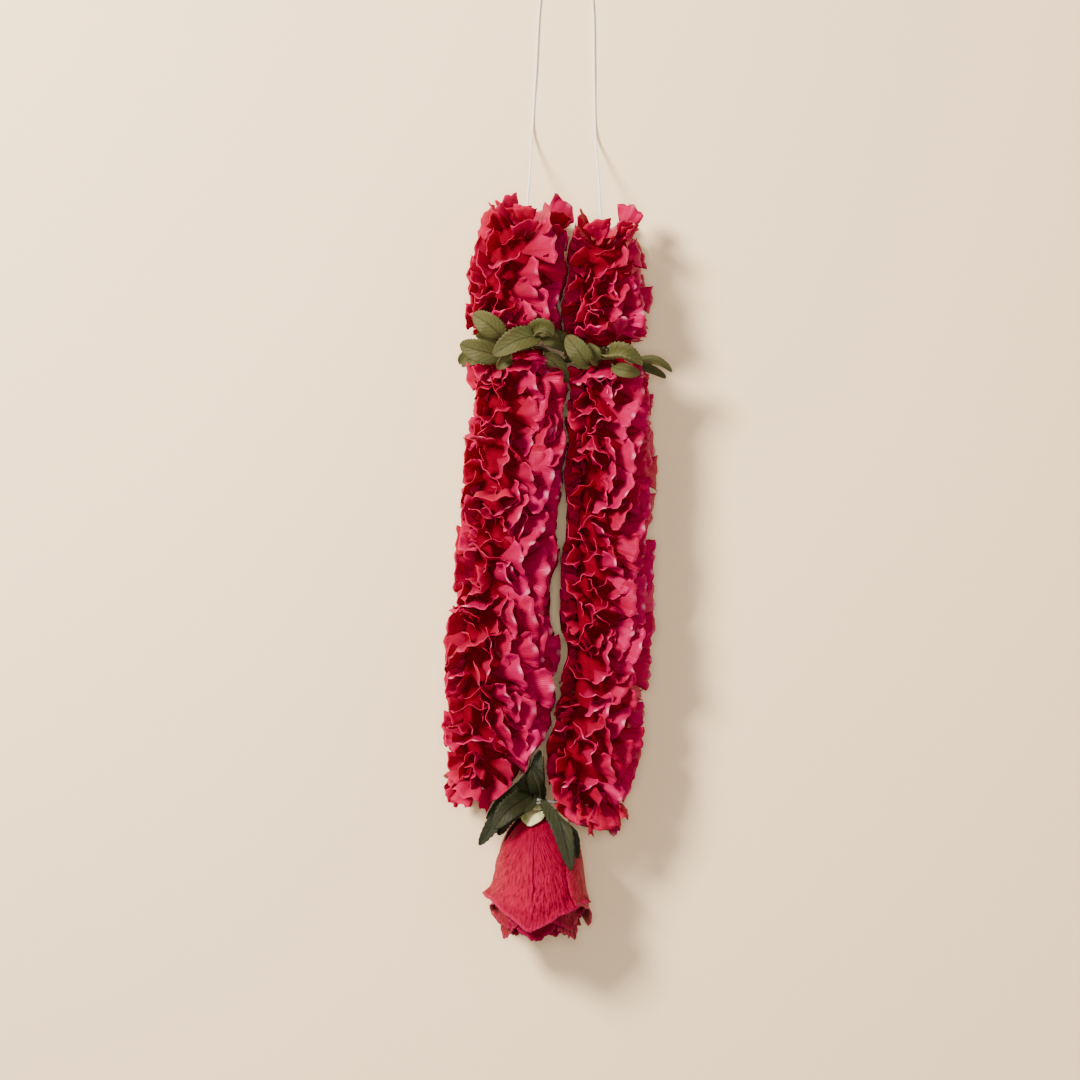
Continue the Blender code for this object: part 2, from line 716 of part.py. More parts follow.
class Leaf:
    """One toothed rose leaf on its stalk, folded a little along its midrib and arched over its length."""

    FOLD = 0.22

    def __init__(self, root, along, face, length, width, arch, stalk):
        self.root, self.along, self.face = root, along, face
        self.side = along.cross(face).normalized()
        self.length, self.width, self.arch, self.stalk = length, width, math.radians(arch), stalk

    def point(self, across, distance):
        """The point at a signed width across the midrib and a distance along it from the root."""
        bend = self.arch / self.length
        if abs(bend) < 1e-6:
            ahead, drop = distance, 0.0
        else:
            ahead = math.sin(bend * distance) / bend
            drop = (1.0 - math.cos(bend * distance)) / bend
        lift = self.FOLD * abs(across)
        return self.root + self.along * ahead + self.side * across + self.face * (lift - drop)

    def rows(self):
        """Rows of points: the stalk's root, the stalk's end, a row at each pair of teeth and the tip."""
        blade_length = self.length - self.stalk
        half = STALK_WIDTH / 2
        rows = [[self.point(0.0, 0.0)], [self.point(w, self.stalk) for w in (-half, 0.0, half)]]
        for share, half, forward in leaf_outline(self.width):
            distance = self.stalk + blade_length * share
            rows.append([self.point(w, distance + (forward if w else 0.0)) for w in (-half, 0.0, half)])
        rows.append([self.point(0.0, self.length)])
        return rows


def build_collar(strand, leaves, collection, finish):
    """The leaf collar of a strand: a bound ring of stalks round the thread, with its leaves."""
    name = f"leaf_collar_{strand.side_name}"
    centre, upward, _ = strand.route.at(strand.collar)
    ends = [centre - upward * COLLAR_LENGTH / 2, centre + upward * COLLAR_LENGTH / 2]
    body = solid_tube(name, ends, [COLLAR_RADIUS] * 2, collection, finish, SLEEVE_SIDES)

    def settle(point):
        """Eases a leaf's point into the wedge that the petals leave free."""
        point = point.copy()
        offset = point - centre
        height = offset.dot(upward)
        out = (offset - upward * height).length
        room = COLLAR_LENGTH / 2 + SECTION_GAP - LEAF_GAP + COLLAR_FLARE * out
        eased = eased_below(height, room, EDGE_SOFTNESS)
        eased = -eased_below(-eased, room, EDGE_SOFTNESS)
        point += upward * (eased - height)
        beside_line(point, strand.edge, strand.side)
        above_floor(point)
        return point

    loose = new_collection(name + "_leaves", hidden=True)
    lateral = upward.cross(OUTWARD).normalized()
    for k, (azimuth, rise, length, width, roll, arch) in enumerate(leaves):
        turn, climb = math.radians(azimuth), math.radians(rise)
        out = lateral * math.cos(turn) + OUTWARD * math.sin(turn)
        along = out * math.cos(climb) + upward * math.sin(climb)
        face = upward * math.cos(climb) - out * math.sin(climb)
        face = Matrix.Rotation(math.radians(roll) * (1.0 if math.cos(turn) > 0.0 else -1.0), 3, along) @ face
        leaf = Leaf(centre + out * (COLLAR_RADIUS - ROOT_DEPTH), along, face, length, width, arch, LEAF_STALK)
        rows = [[settle(point) for point in row] for row in leaf.rows()]
        blade(rows, LEAF_THICKNESS, f"{name}_leaf_{k}", loose)
    apply_boolean(body, "UNION", loose)
    tidy(body, FLAT_ANGLES)
    trim(body, COPLANAR_ANGLES, strand.thread, THREAD_D / 2 + BORE_GAP)
    return body


def rose_point(azimuth, y, radius):
    """A point round the rose's axis; azimuth 0 is +X and 90 is towards the viewer."""
    turn = math.radians(azimuth)
    return Vector((ROSE_X + radius * math.cos(turn), y, ROSE_Z + radius * math.sin(turn)))


def bloom_radius(y):
    """The outer radius of the bloom at y, along a smooth curve from its shoulder to its rim."""
    rows = BLOOM_PROFILE
    i = next((k for k in range(len(rows) - 2) if y >= rows[k + 1][0]), len(rows) - 2)
    share = (rows[i][0] - y) / (rows[i][0] - rows[i + 1][0])
    return spline_point(rows, i + min(max(share, 0.0), 1.0))[1]


class RosePetal:
    """One outer petal of the upside-down rose, cupped round the bud with a pointed, rolled-out rim."""

    COLUMNS = (-1.0, -0.4, 0.4, 1.0)
    RIM_COLUMNS = (-1.0, -0.5, 0.0, 0.5, 1.0)
    ROWS = (0.36, 0.82)
    ROLL_START = 0.8
    NARROWEST = 0.35
    FULL_WIDTH_AT = 0.5
    ROOT_RADIUS = 5.5
    ROOT_DEPTH = 2.5
    ROOT_WIDTH = 0.3

    def __init__(self, azimuth, spread, rim_y, inset, corner, drop):
        self.azimuth, self.spread, self.rim_y = azimuth, spread, rim_y
        self.inset, self.corner, self.drop = inset, corner, drop

    def point(self, u, v):
        """The point at u across, from -1 to 1, and v down from the shoulder to the rim."""
        reach = 1.0 - self.corner * u * u
        y = BLOOM_TOP_Y + (self.rim_y - BLOOM_TOP_Y) * v * reach
        roll = max(0.0, v - self.ROLL_START) / (1.0 - self.ROLL_START)
        radius = bloom_radius(max(y, BLOOM_RIM_Y)) - self.inset + PETAL_LAP * u + ROLL_OUT * roll * u * u
        radius -= self.drop * roll * (1.0 - u * u)
        narrow = self.NARROWEST + (1.0 - self.NARROWEST) * min(1.0, v / self.FULL_WIDTH_AT)
        return rose_point(self.azimuth + self.spread * narrow * u, y, radius)

    def rows(self):
        """Rows of points from the root, sunk in the bud, to the rim."""
        root_y, half = BLOOM_TOP_Y - self.ROOT_DEPTH, self.spread * self.ROOT_WIDTH
        root = [rose_point(self.azimuth + half * u, root_y, self.ROOT_RADIUS) for u in (-1.0, 0.0, 1.0)]
        cup = [[self.point(u, v) for u in self.COLUMNS] for v in self.ROWS]
        return [root, *cup, [self.point(u, 1.0) for u in self.RIM_COLUMNS]]


def turned(name, profile, collection, finish):
    """A closed turned body round the rose's axis, from rows of y and radius."""
    rows = [(profile[0][0], 0.0), *profile, (profile[-1][0], 0.0)]
    bm = bmesh.new()
    points = [bm.verts.new((radius, y, 0.0)) for y, radius in rows]
    for first, second in zip(points, points[1:]):
        bm.edges.new((first, second))
    guide = object_from(bm, name + "_profile", collection)
    screw = guide.modifiers.new("turn", "SCREW")
    screw.axis = "Y"
    screw.steps = screw.render_steps = TURNED_SIDES
    screw.use_merge_vertices = True
    screw.merge_threshold = 0.00001
    made = solid_from(guide, name, collection, finish)
    made.data.transform(Matrix.Translation(Vector((ROSE_X, 0.0, ROSE_Z)) * MM))
    return made


def build_bloom(collection, finish):
    """The rose's bloom: a solid bud with three rings of petals round it."""
    name = "rose_bloom"
    body = turned(name, BUD_PROFILE, collection, finish)
    loose = new_collection(name + "_petals", hidden=True)
    for ring, (first, count, spread, rim_y, inset, corner, drop) in enumerate(ROSE_RINGS):
        for k in range(count):
            petal = RosePetal(first + 360.0 * k / count, spread, rim_y, inset, corner, drop)
            rows = petal.rows()
            for point in itertools.chain(*rows):
                above_floor(point)
            blade(rows, ROSE_PETAL_THICKNESS, f"{name}_petal_{ring}_{k}", loose)
    apply_boolean(body, "UNION", loose)
    trim(body, FLAT_ANGLES)
    return body


def build_calyx(collection, finish):
    """The rose's stem stub, hip and five sepals, which turn down over the bloom's shoulder."""
    name = "rose_calyx"
    body = turned(name, CALYX_PROFILE, collection, finish)
    loose = new_collection(name + "_sepals", hidden=True)
    for k in range(SEPALS):
        azimuth = 360.0 * k / SEPALS + SEPAL_TURN
        rows = []
        for y, radius, half in SEPAL_ROWS:
            across = (0.0,) if half == 0.0 else (-1.0, 0.0, 1.0)
            rows.append([rose_point(azimuth + half * w, y, radius) for w in across])
        blade(rows, LEAF_THICKNESS, f"{name}_sepal_{k}", loose)
    apply_boolean(body, "UNION", loose)
    tidy(body, FLAT_ANGLES)
    return body


def build_pendant_leaves(collection, finish):
    """The leaves bound round the rose's stem below the knot, on a sleeve of their own stalks."""
    name = "pendant_leaves"
    ends = [rose_point(0.0, y, 0.0) for y in (SLEEVE_END_Y, SLEEVE_TOP_Y)]
    body = solid_tube(name, ends, [SLEEVE_RADIUS] * 2, collection, finish, SLEEVE_SIDES)
    loose = new_collection(name + "_leaves", hidden=True)
    for k, (azimuth, path, width, twist) in enumerate(PENDANT_LEAVES):
        blade(pendant_rows(azimuth, path, width, twist), LEAF_THICKNESS, f"{name}_leaf_{k}", loose)
    apply_boolean(body, "UNION", loose)
    tidy(body, FLAT_ANGLES)
    stem = [rose_point(0.0, y, 0.0) for y in (HIP_TOP_Y, STEM_TOP_Y + SLEEVE_RADIUS)]
    trim(body, COPLANAR_ANGLES, stem, STEM_RADIUS + SEAT_GAP, SLEEVE_SIDES)
    return body


def pendant_rows(azimuth, path, width, twist):
    """Rows of points of a pendant leaf whose midrib follows a path of points from the sleeve to its tip."""
    root = rose_point(azimuth, SLEEVE_TOP_Y - PENDANT_ROOT_DROP, SLEEVE_RADIUS - 1.0)
    route = [tuple(root), *path]
    last = len(route) - 1
    side = Vector((math.cos(math.radians(twist)), 0.0, math.sin(math.radians(twist))))
    rows = [[root]]
    for flat, half, forward in [(0.0, STALK_WIDTH / 2, 0.0), *leaf_outline(width)]:
        share = PENDANT_STALK + (1.0 - PENDANT_STALK) * flat
        middle = Vector(spline_point(route, share * last))
        ahead = (Vector(spline_point(route, min(share + 0.03, 1.0) * last)) - middle).normalized()
        across = (side - ahead * side.dot(ahead)).normalized() * half
        rows.append([middle - across + ahead * forward, middle, middle + across + ahead * forward])
    rows.append([Vector(route[-1])])
    return [[settle_pendant(point) for point in row] for row in rows]


def settle_pendant(point):
    """Eases a pendant leaf's point clear of both strands, of the bloom and of the floor."""
    point = point.copy()
    point.x = -eased_below(-point.x, -line_at(LEFT_STRAND_EDGE, point.y) - PENDANT_GAP, EDGE_SOFTNESS)
    point.x = eased_below(point.x, line_at(RIGHT_STRAND_EDGE, point.y) - PENDANT_GAP, EDGE_SOFTNESS)
    if point.y < BLOOM_TOP_Y + BLOOM_REACH:
        offset = Vector((point.x - ROSE_X, 0.0, point.z - ROSE_Z))
        room = bloom_radius(min(point.y, BLOOM_TOP_Y)) + BLOOM_GAP
        distance = max(offset.length, 0.01)
        point += offset / distance * (-eased_below(-distance, -room, EDGE_SOFTNESS) - distance)
    above_floor(point)
    return point


def thread(name, points, collection, finish, resolution):
    """A length of the cotton thread along points."""
    made = round_curve(name, points, [THREAD_D / 2] * len(points), collection, resolution)
    made.data.materials.append(finish)
    return made


def build_wrap(collection, finish):
    """The thread wound round the stem where both strands end, as one flattened ring."""
    major, minor = WRAP_SIDES
    bpy.ops.mesh.primitive_torus_add(
        major_segments=major,
        minor_segments=minor,
        major_radius=WRAP_RADIUS * MM,
        minor_radius=WRAP_THICKNESS / 2 * MM,
    )
    made = bpy.context.active_object
    made.name = made.data.name = "tie_knot"
    stretched = Matrix.Diagonal((1.0, 1.0, WRAP_HEIGHT / WRAP_THICKNESS, 1.0))
    along_stem = Matrix.Rotation(math.pi / 2, 4, "X")
    made.data.transform(Matrix.Translation(rose_point(0.0, WRAP_Y, 0.0) * MM) @ along_stem @ stretched)
    made.data.materials.append(finish)
    for home in list(made.users_collection):
        home.objects.unlink(made)
    collection.objects.link(made)
    return made


def cord_points():
    """Points along the neck cord, from the left strand's thread over its loop to the right one's."""
    last = len(CORD_ROUTE) - 1
    count = last * CORD_SAMPLES
    fine = [Vector(spline_point(CORD_ROUTE, last * i / count)) for i in range(count + 1)]
    lengths = list(itertools.accumulate(((b - a).length for a, b in zip(fine, fine[1:])), initial=0.0))
    made, k = [], 0
    for i in range(CORD_POINTS):
        target = lengths[-1] * i / (CORD_POINTS - 1)
        while k < len(fine) - 2 and lengths[k + 1] < target:
            k += 1
        share = (target - lengths[k]) / (lengths[k + 1] - lengths[k])
        made.append(fine[k] + (fine[k + 1] - fine[k]) * share)
    return made


def main():
    """Builds the whole garland."""
    clear_scene()
    garland = new_collection("rose_petal_garland")
    red = material("rose_petal", (0.62, 0.01, 0.06), 0.55)
    rose_red = material("rose_bloom", (0.7, 0.02, 0.07), 0.5)
    green = material("rose_leaf", (0.16, 0.2, 0.05), 0.6)
    pale_green = material("rose_calyx", (0.5, 0.55, 0.28), 0.6)
    cotton = material("cotton_thread", (0.85, 0.83, 0.78), 0.8)
    left = Strand(
        "left", LEFT_STRAND, LEFT_AXIS_Z, LEFT_STRAND_EDGE, 1.0, LEFT_COLLAR_Y, LEFT_CORE_END_Y,
        [Vector(row) for row in LEFT_THREAD_END], [Vector(row) for row in CORD_ROUTE[:3]],
    )
    right = Strand(
        "right", RIGHT_STRAND, RIGHT_AXIS_Z, RIGHT_STRAND_EDGE, -1.0, RIGHT_COLLAR_Y, RIGHT_CORE_END_Y,
        [Vector(row) for row in RIGHT_THREAD_END], [Vector(row) for row in CORD_ROUTE[:-4:-1]],
    )
    seed = FIRST_SEED
    for strand, leaves in ((left, LEFT_COLLAR_LEAVES), (right, RIGHT_COLLAR_LEAVES)):
        upper, lower = strand.sections()
        upper.build(f"petals_{strand.side_name}_upper", seed, garland, red)
        lower.build(f"petals_{strand.side_name}_lower", seed + 1, garland, red)
        build_collar(strand, leaves, garland, green)
        thread(f"thread_{strand.side_name}", strand.inner_thread, garland, cotton, INNER_THREAD_RESOLUTION)
        seed += 10
    build_wrap(garland, cotton)
    build_pendant_leaves(garland, green)
    build_calyx(garland, pale_green)
    build_bloom(garland, rose_red)
    thread("neck_cord", cord_points(), garland, cotton, CORD_RESOLUTION)


main()
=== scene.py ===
"""Looks of a rose petal garland that lies on its back on a pale floor.

Two strands of folded rose petals hang on a cotton thread, each with a collar of rose leaves near its top.
They meet at a knot with more leaves and one upside-down rose, and a bare neck cord joins their tops.

The frame's axes: +Y towards the neck cord, +X to the right as the garland is looked at, +Z to the viewer.
Sizes are in millimetres and degrees unless a name says otherwise.
"""

from __future__ import annotations

import itertools
import logging
import math
import random
from dataclasses import dataclass, field
from enum import Enum
from typing import Callable, Iterator, Sequence

import bmesh
import bpy
from mathutils import Matrix, Vector, noise

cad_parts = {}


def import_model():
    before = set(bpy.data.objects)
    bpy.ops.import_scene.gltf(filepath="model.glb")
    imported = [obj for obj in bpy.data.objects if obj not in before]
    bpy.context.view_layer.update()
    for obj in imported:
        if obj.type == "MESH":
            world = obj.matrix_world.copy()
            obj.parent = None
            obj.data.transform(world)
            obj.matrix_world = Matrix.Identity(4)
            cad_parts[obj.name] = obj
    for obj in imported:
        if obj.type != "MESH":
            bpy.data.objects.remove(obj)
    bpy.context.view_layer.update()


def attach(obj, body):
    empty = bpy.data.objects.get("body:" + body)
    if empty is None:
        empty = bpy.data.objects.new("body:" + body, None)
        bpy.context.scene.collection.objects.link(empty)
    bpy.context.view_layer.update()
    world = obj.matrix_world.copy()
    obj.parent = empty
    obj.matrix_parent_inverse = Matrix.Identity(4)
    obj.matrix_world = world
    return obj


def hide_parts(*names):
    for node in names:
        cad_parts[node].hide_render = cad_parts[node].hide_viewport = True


LOG = logging.getLogger("rose_petal_garland")

MM = 0.001
OUTWARD = Vector((0.0, 0.0, 1.0))
BLADE_UV = "blade"
INNER_FACE = "inner_face"
TINT = "tint"
# Where a blade is narrower than this, the row beside it gives its way across.
POINTED = 0.02

Rows = Sequence[Sequence[float]]
Surface = Callable[[float, float], Vector]
Colour = tuple[float, float, float]
Socket = bpy.types.NodeSocket


class Side(Enum):
    """The strand on the left or on the right as the garland is looked at."""

    LEFT = "left"
    RIGHT = "right"


class RunEnd(Enum):
    """What a run of petals ends at: a leaf collar, or the open end of its strand."""

    COLLAR = "collar"
    OPEN = "open"


# Curves and limits


def spline_point(rows: Rows, t: float) -> list[float]:
    """A smooth point through rows of numbers.

    Args:
        rows: the points that the curve passes through.
        t: the place on it, from 0 to len(rows) - 1.

    Returns:
        The point's numbers.
    """
    last = len(rows) - 1
    i = min(int(t), last - 1)
    f = t - i
    around = (rows[max(i - 1, 0)], rows[i], rows[i + 1], rows[min(i + 2, last)])
    return [
        0.5 * (2 * b + (c - a) * f + (2 * a - 5 * b + 4 * c - d) * f**2 + (3 * b - a - 3 * c + d) * f**3)
        for a, b, c, d in zip(*around)
    ]


def spline_at(rows: Rows, y: float) -> float:
    """The value of a smooth curve at y.

    Args:
        rows: rows of y and value, with y falling from row to row.
        y: where to read the curve.

    Returns:
        The value there.
    """
    last = len(rows) - 1
    i = next((k for k in range(last) if y >= rows[k + 1][0]), last - 1)
    share = (rows[i][0] - y) / (rows[i][0] - rows[i + 1][0])
    return spline_point(rows, i + min(max(share, 0.0), 1.0))[1]


def line_at(rows: Rows, y: float) -> float:
    """The x of a line of straight stretches at y.

    Args:
        rows: rows of y and x, with y falling from row to row.
        y: where to read the line.

    Returns:
        The x there.
    """
    for (y0, x0), (y1, x1) in zip(rows, rows[1:]):
        if y >= y1:
            return x0 + (x1 - x0) * min(max((y0 - y) / (y0 - y1), 0.0), 1.0)
    return rows[-1][1]


def eased_below(value: float, limit: float, softness: float) -> float:
    """The value, eased so that it never passes the limit."""
    room = (limit - value) / softness
    return value if room > 30.0 else limit - softness * math.log1p(math.exp(room))


def smooth_step(value: float, low: float, high: float) -> float:
    """0 below low, 1 above high, with a smooth rise between them."""
    share = min(max((value - low) / (high - low), 0.0), 1.0)
    return share * share * (3.0 - 2.0 * share)


# Finishes


class NodeSheet:
    """A material's node sheet, with short ways to add the nodes that the finishes use."""

    def __init__(self, name: str) -> None:
        """Starts a material that holds one Principled shader.

        Args:
            name: the material's name.
        """
        self.material = bpy.data.materials.new(name)
        self.material.use_nodes = True
        self.tree = self.material.node_tree
        self.shader = self.tree.nodes["Principled BSDF"]

    def node(self, kind: str, **settings: object) -> bpy.types.Node:
        """Adds a node; settings are its own properties.

        Args:
            kind: the node's type name without its ShaderNode prefix.
            settings: property names and values.

        Returns:
            The new node.
        """
        made = self.tree.nodes.new("ShaderNode" + kind)
        for key, value in settings.items():
            setattr(made, key, value)
        return made

    def feed(self, value: float | Colour | Socket, target: str | Socket) -> None:
        """Gives an input a number, a colour or another node's result.

        Args:
            value: what goes in.
            target: the input, or the name of one of the shader's.
        """
        socket = self.shader.inputs[target] if isinstance(target, str) else target
        if isinstance(value, Socket):
            self.tree.links.new(value, socket)
        else:
            socket.default_value = (*value, 1.0) if isinstance(value, tuple) else value

    def math(self, operation: str, *operands: float | Socket) -> Socket:
        """Adds a Math node.

        Args:
            operation: the name of what it does.
            operands: its numbers or sockets.

        Returns:
            Its result.
        """
        made = self.node("Math", operation=operation)
        for socket, value in zip(made.inputs, operands):
            self.feed(value, socket)
        return made.outputs[0]

    def rise(self, value: Socket, low: float, high: float, top: float = 1.0) -> Socket:
        """A smooth rise from 0 to the top.

        Args:
            value: what it depends on.
            low: the value at which it is 0.
            high: the value at which it reaches the top; where it is below low, the rise is a fall.
            top: the most that it gives.

        Returns:
            The rise.
        """
        made = self.node("MapRange", interpolation_type="SMOOTHSTEP")
        numbers = {"Value": value, "From Min": low, "From Max": high, "To Max": top}
        for key, number in numbers.items():
            self.feed(number, made.inputs[key])
        return made.outputs["Result"]

    def stripes(self, value: Socket, count: float) -> Socket:
        """Even stripes, from 0 at their lines to 1 between them."""
        return self.math("ABSOLUTE", self.math("SINE", self.math("MULTIPLY", value, count * math.pi)))

    def attribute(self, name: str) -> Socket:
        """A number that the mesh carries at its points."""
        return self.node("Attribute", attribute_name=name).outputs["Fac"]

    def uv(self) -> tuple[Socket, Socket]:
        """The blade's own coordinates.

        Returns:
            The place across it, and the place from its root to its rim.
        """
        split = self.node("SeparateXYZ")
        self.feed(self.node("UVMap", uv_map=BLADE_UV).outputs["UV"], split.inputs[0])
        return split.outputs["X"], split.outputs["Y"]

    def off_middle(self, across: Socket) -> Socket:
        """The distance from the blade's midline, from 0 to 0.5."""
        return self.math("ABSOLUTE", self.math("SUBTRACT", across, 0.5))

    def uv_noise(self, scale_x: float, scale_y: float, detail: float = 3.0) -> Socket:
        """Noise on the blade's own coordinates.

        Args:
            scale_x: its scale across the blade.
            scale_y: its scale along the blade.
            detail: how many finer layers it has.

        Returns:
            The noise, from 0 to 1.
        """
        mapping = self.node("Mapping")
        self.feed(self.node("UVMap", uv_map=BLADE_UV).outputs["UV"], mapping.inputs["Vector"])
        mapping.inputs["Scale"].default_value = (scale_x, scale_y, 1.0)
        return self.noise(1.0, detail, mapping.outputs["Vector"])

    def noise(self, scale: float, detail: float, vector: Socket | None = None) -> Socket:
        """Noise on object coordinates, in metres, or on a vector.

        Args:
            scale: its scale.
            detail: how many finer layers it has.
            vector: the vector, where it isn't the object coordinates.

        Returns:
            The noise, from 0 to 1.
        """
        made = self.node("TexNoise")
        vector = vector or self.node("TexCoord").outputs["Object"]
        for key, value in {"Scale": scale, "Detail": detail, "Vector": vector}.items():
            self.feed(value, made.inputs[key])
        return made.outputs["Fac"]

    def ramp(self, value: Socket, *stops: tuple[float, Colour]) -> Socket:
        """A colour that runs through stops.

        Args:
            value: what it depends on.
            stops: the stops' places and colours.

        Returns:
            The colour.
        """
        made = self.node("ValToRGB")
        band = made.color_ramp
        while len(band.elements) < len(stops):
            band.elements.new(0.5)
        for element, (place, colour) in zip(band.elements, stops):
            element.position = place
            element.color = (*colour, 1.0)
        self.feed(value, made.inputs["Fac"])
        return made.outputs["Color"]

    def mix(self, share: float | Socket, first: Colour | Socket, second: Colour | Socket) -> Socket:
        """Two colours mixed by a share.

        Args:
            share: the second colour's share.
            first: the first colour.
            second: the second colour.

        Returns:
            The mixed colour.
        """
        made = self.node("Mix", data_type="RGBA")
        for place, value in ((0, share), (6, first), (7, second)):
            self.feed(value, made.inputs[place])
        return made.outputs[2]

    def bump(self, height: Socket, strength: float, distance: float) -> None:
        """Puts relief on the shader.

        Args:
            height: the relief's height.
            strength: its strength, from 0 to 1.
            distance: its depth in metres.
        """
        made = self.node("Bump")
        for key, value in {"Strength": strength, "Distance": distance, "Height": height}.items():
            self.feed(value, made.inputs[key])
        self.feed(made.outputs["Normal"], "Normal")

    def constant(self, **values: object) -> None:
        """Sets the shader's own sockets; an underscore in a name stands for a space."""
        for key, value in values.items():
            self.shader.inputs[key.replace("_", " ")].default_value = value


@dataclass(frozen=True)
class PetalFinish:
    """A strand petal: velvety crimson inside, satin pink-red outside, with fine veins, painted shade towards
    the root, a painted highlight along the rim and a pale tip that is partly painted highlight.
    """

    # Both faces are painted darker towards the root, where the petals pack into the strand: painted shade.
    # The outside's rim colour is partly a painted highlight.
    inside_root_shade: Colour = (0.17, 0.0, 0.012)
    inside_rim: Colour = (0.36, 0.0, 0.028)
    outside_root_shade: Colour = (0.21, 0.0, 0.014)
    outside_middle: Colour = (0.28, 0.0, 0.026)
    outside_rim_with_highlight: Colour = (0.33, 0.0, 0.042)
    # The pale tip at the rim's middle: partly the petal's own pale apex, partly a painted highlight.
    tip: Colour = (0.62, 0.22, 0.29)
    vein: Colour = (0.12, 0.0, 0.01)
    blush: Colour = (0.42, 0.0, 0.016)
    # A thin lighter line along the rim: a painted highlight where the rim catches the light.
    rim_highlight: Colour = (0.48, 0.012, 0.05)
    vein_count: float = 19.0
    vein_wander: float = 0.10
    tip_and_highlight_share: float = 0.85
    vein_share: float = 0.18
    blush_share: float = 0.3
    rim_highlight_share: float = 0.4
    # A tint's span and its start, for the brightness and the hue.
    brightness: tuple[float, float] = (0.34, 0.80)
    hue: tuple[float, float] = (-0.012, 0.504)
    # The roughness that the velvety inside adds, and that of the satin outside.
    roughness: tuple[float, float] = (0.26, 0.42)

    def make(self) -> bpy.types.Material:
        """Makes the material.

        Returns:
            The material.
        """
        sheet = NodeSheet("rose_petal_velvet_and_satin")
        across, along = sheet.uv()
        inner = sheet.attribute(INNER_FACE)
        tint = sheet.attribute(TINT)
        # Each face runs from painted shade at the root to its rim colour; on the outside that rim colour is
        # partly a painted highlight.
        inside = sheet.ramp(along, (0.15, self.inside_root_shade), (0.85, self.inside_rim))
        stops = ((0.2, self.outside_root_shade), (0.6, self.outside_middle), (0.97, self.outside_rim_with_highlight))
        outside = sheet.ramp(along, *stops)
        wander = sheet.math("MULTIPLY", sheet.uv_noise(5.0, 1.6, detail=2.0), self.vein_wander)
        veins = sheet.stripes(sheet.math("ADD", across, wander), self.vein_count)
        blotch = sheet.uv_noise(5.0, 4.0)
        # The pale tip on the outside: partly the pale apex, partly a painted highlight.
        tip = sheet.rise(sheet.off_middle(across), 0.12, 0.01)
        tip = sheet.math("MULTIPLY", tip, sheet.rise(along, 0.86, 1.0))
        tip = sheet.math("MULTIPLY", tip, sheet.math("SUBTRACT", 1.0, inner))
        tip = sheet.math("MULTIPLY", tip, sheet.rise(tint, 0.15, 0.75, top=self.tip_and_highlight_share))
        colour = sheet.mix(inner, sheet.mix(tip, outside, self.tip), inside)
        colour = sheet.mix(sheet.rise(veins, 0.4, 0.0, top=self.vein_share), colour, self.vein)
        colour = sheet.mix(sheet.rise(blotch, 0.45, 0.75, top=self.blush_share), colour, self.blush)
        # A painted highlight along the rim.
        colour = sheet.mix(sheet.rise(along, 0.975, 0.998, top=self.rim_highlight_share), colour, self.rim_highlight)
        shade = sheet.node("HueSaturation")
        sheet.feed(colour, shade.inputs["Color"])
        sheet.feed(sheet.math("MULTIPLY_ADD", tint, *self.brightness), shade.inputs["Value"])
        sheet.feed(sheet.math("MULTIPLY_ADD", tint, *self.hue), shade.inputs["Hue"])
        sheet.feed(shade.outputs["Color"], "Base Color")
        sheet.feed(sheet.math("MULTIPLY_ADD", inner, *self.roughness), "Roughness")
        relief = sheet.math("MULTIPLY_ADD", veins, 0.5, sheet.math("MULTIPLY", blotch, 0.7))
        sheet.bump(relief, strength=0.32, distance=0.0006)
        sheet.constant(Specular_IOR_Level=0.4, Specular_Tint=(1.0, 0.06, 0.30, 1.0))
        sheet.constant(Subsurface_Weight=0.10, Subsurface_Radius=(1.0, 0.06, 0.08), Subsurface_Scale=0.002)
        return sheet.material


@dataclass(frozen=True)
class CoreFinish:
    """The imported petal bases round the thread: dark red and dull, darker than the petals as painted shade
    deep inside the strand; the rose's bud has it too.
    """

    # Darker than the petals: painted shade deep inside the strand and the bloom.
    dark: Colour = (0.09, 0.0, 0.005)
    light: Colour = (0.18, 0.0, 0.010)

    def make(self) -> bpy.types.Material:
        """Makes the material.

        Returns:
            The material.
        """
        sheet = NodeSheet("packed_petal_bases")
        streaks = sheet.noise(240.0, detail=4.0)
        sheet.feed(sheet.mix(streaks, self.dark, self.light), "Base Color")
        sheet.bump(streaks, strength=0.8, distance=0.002)
        sheet.constant(Roughness=0.9, Specular_IOR_Level=0.0)
        return sheet.material


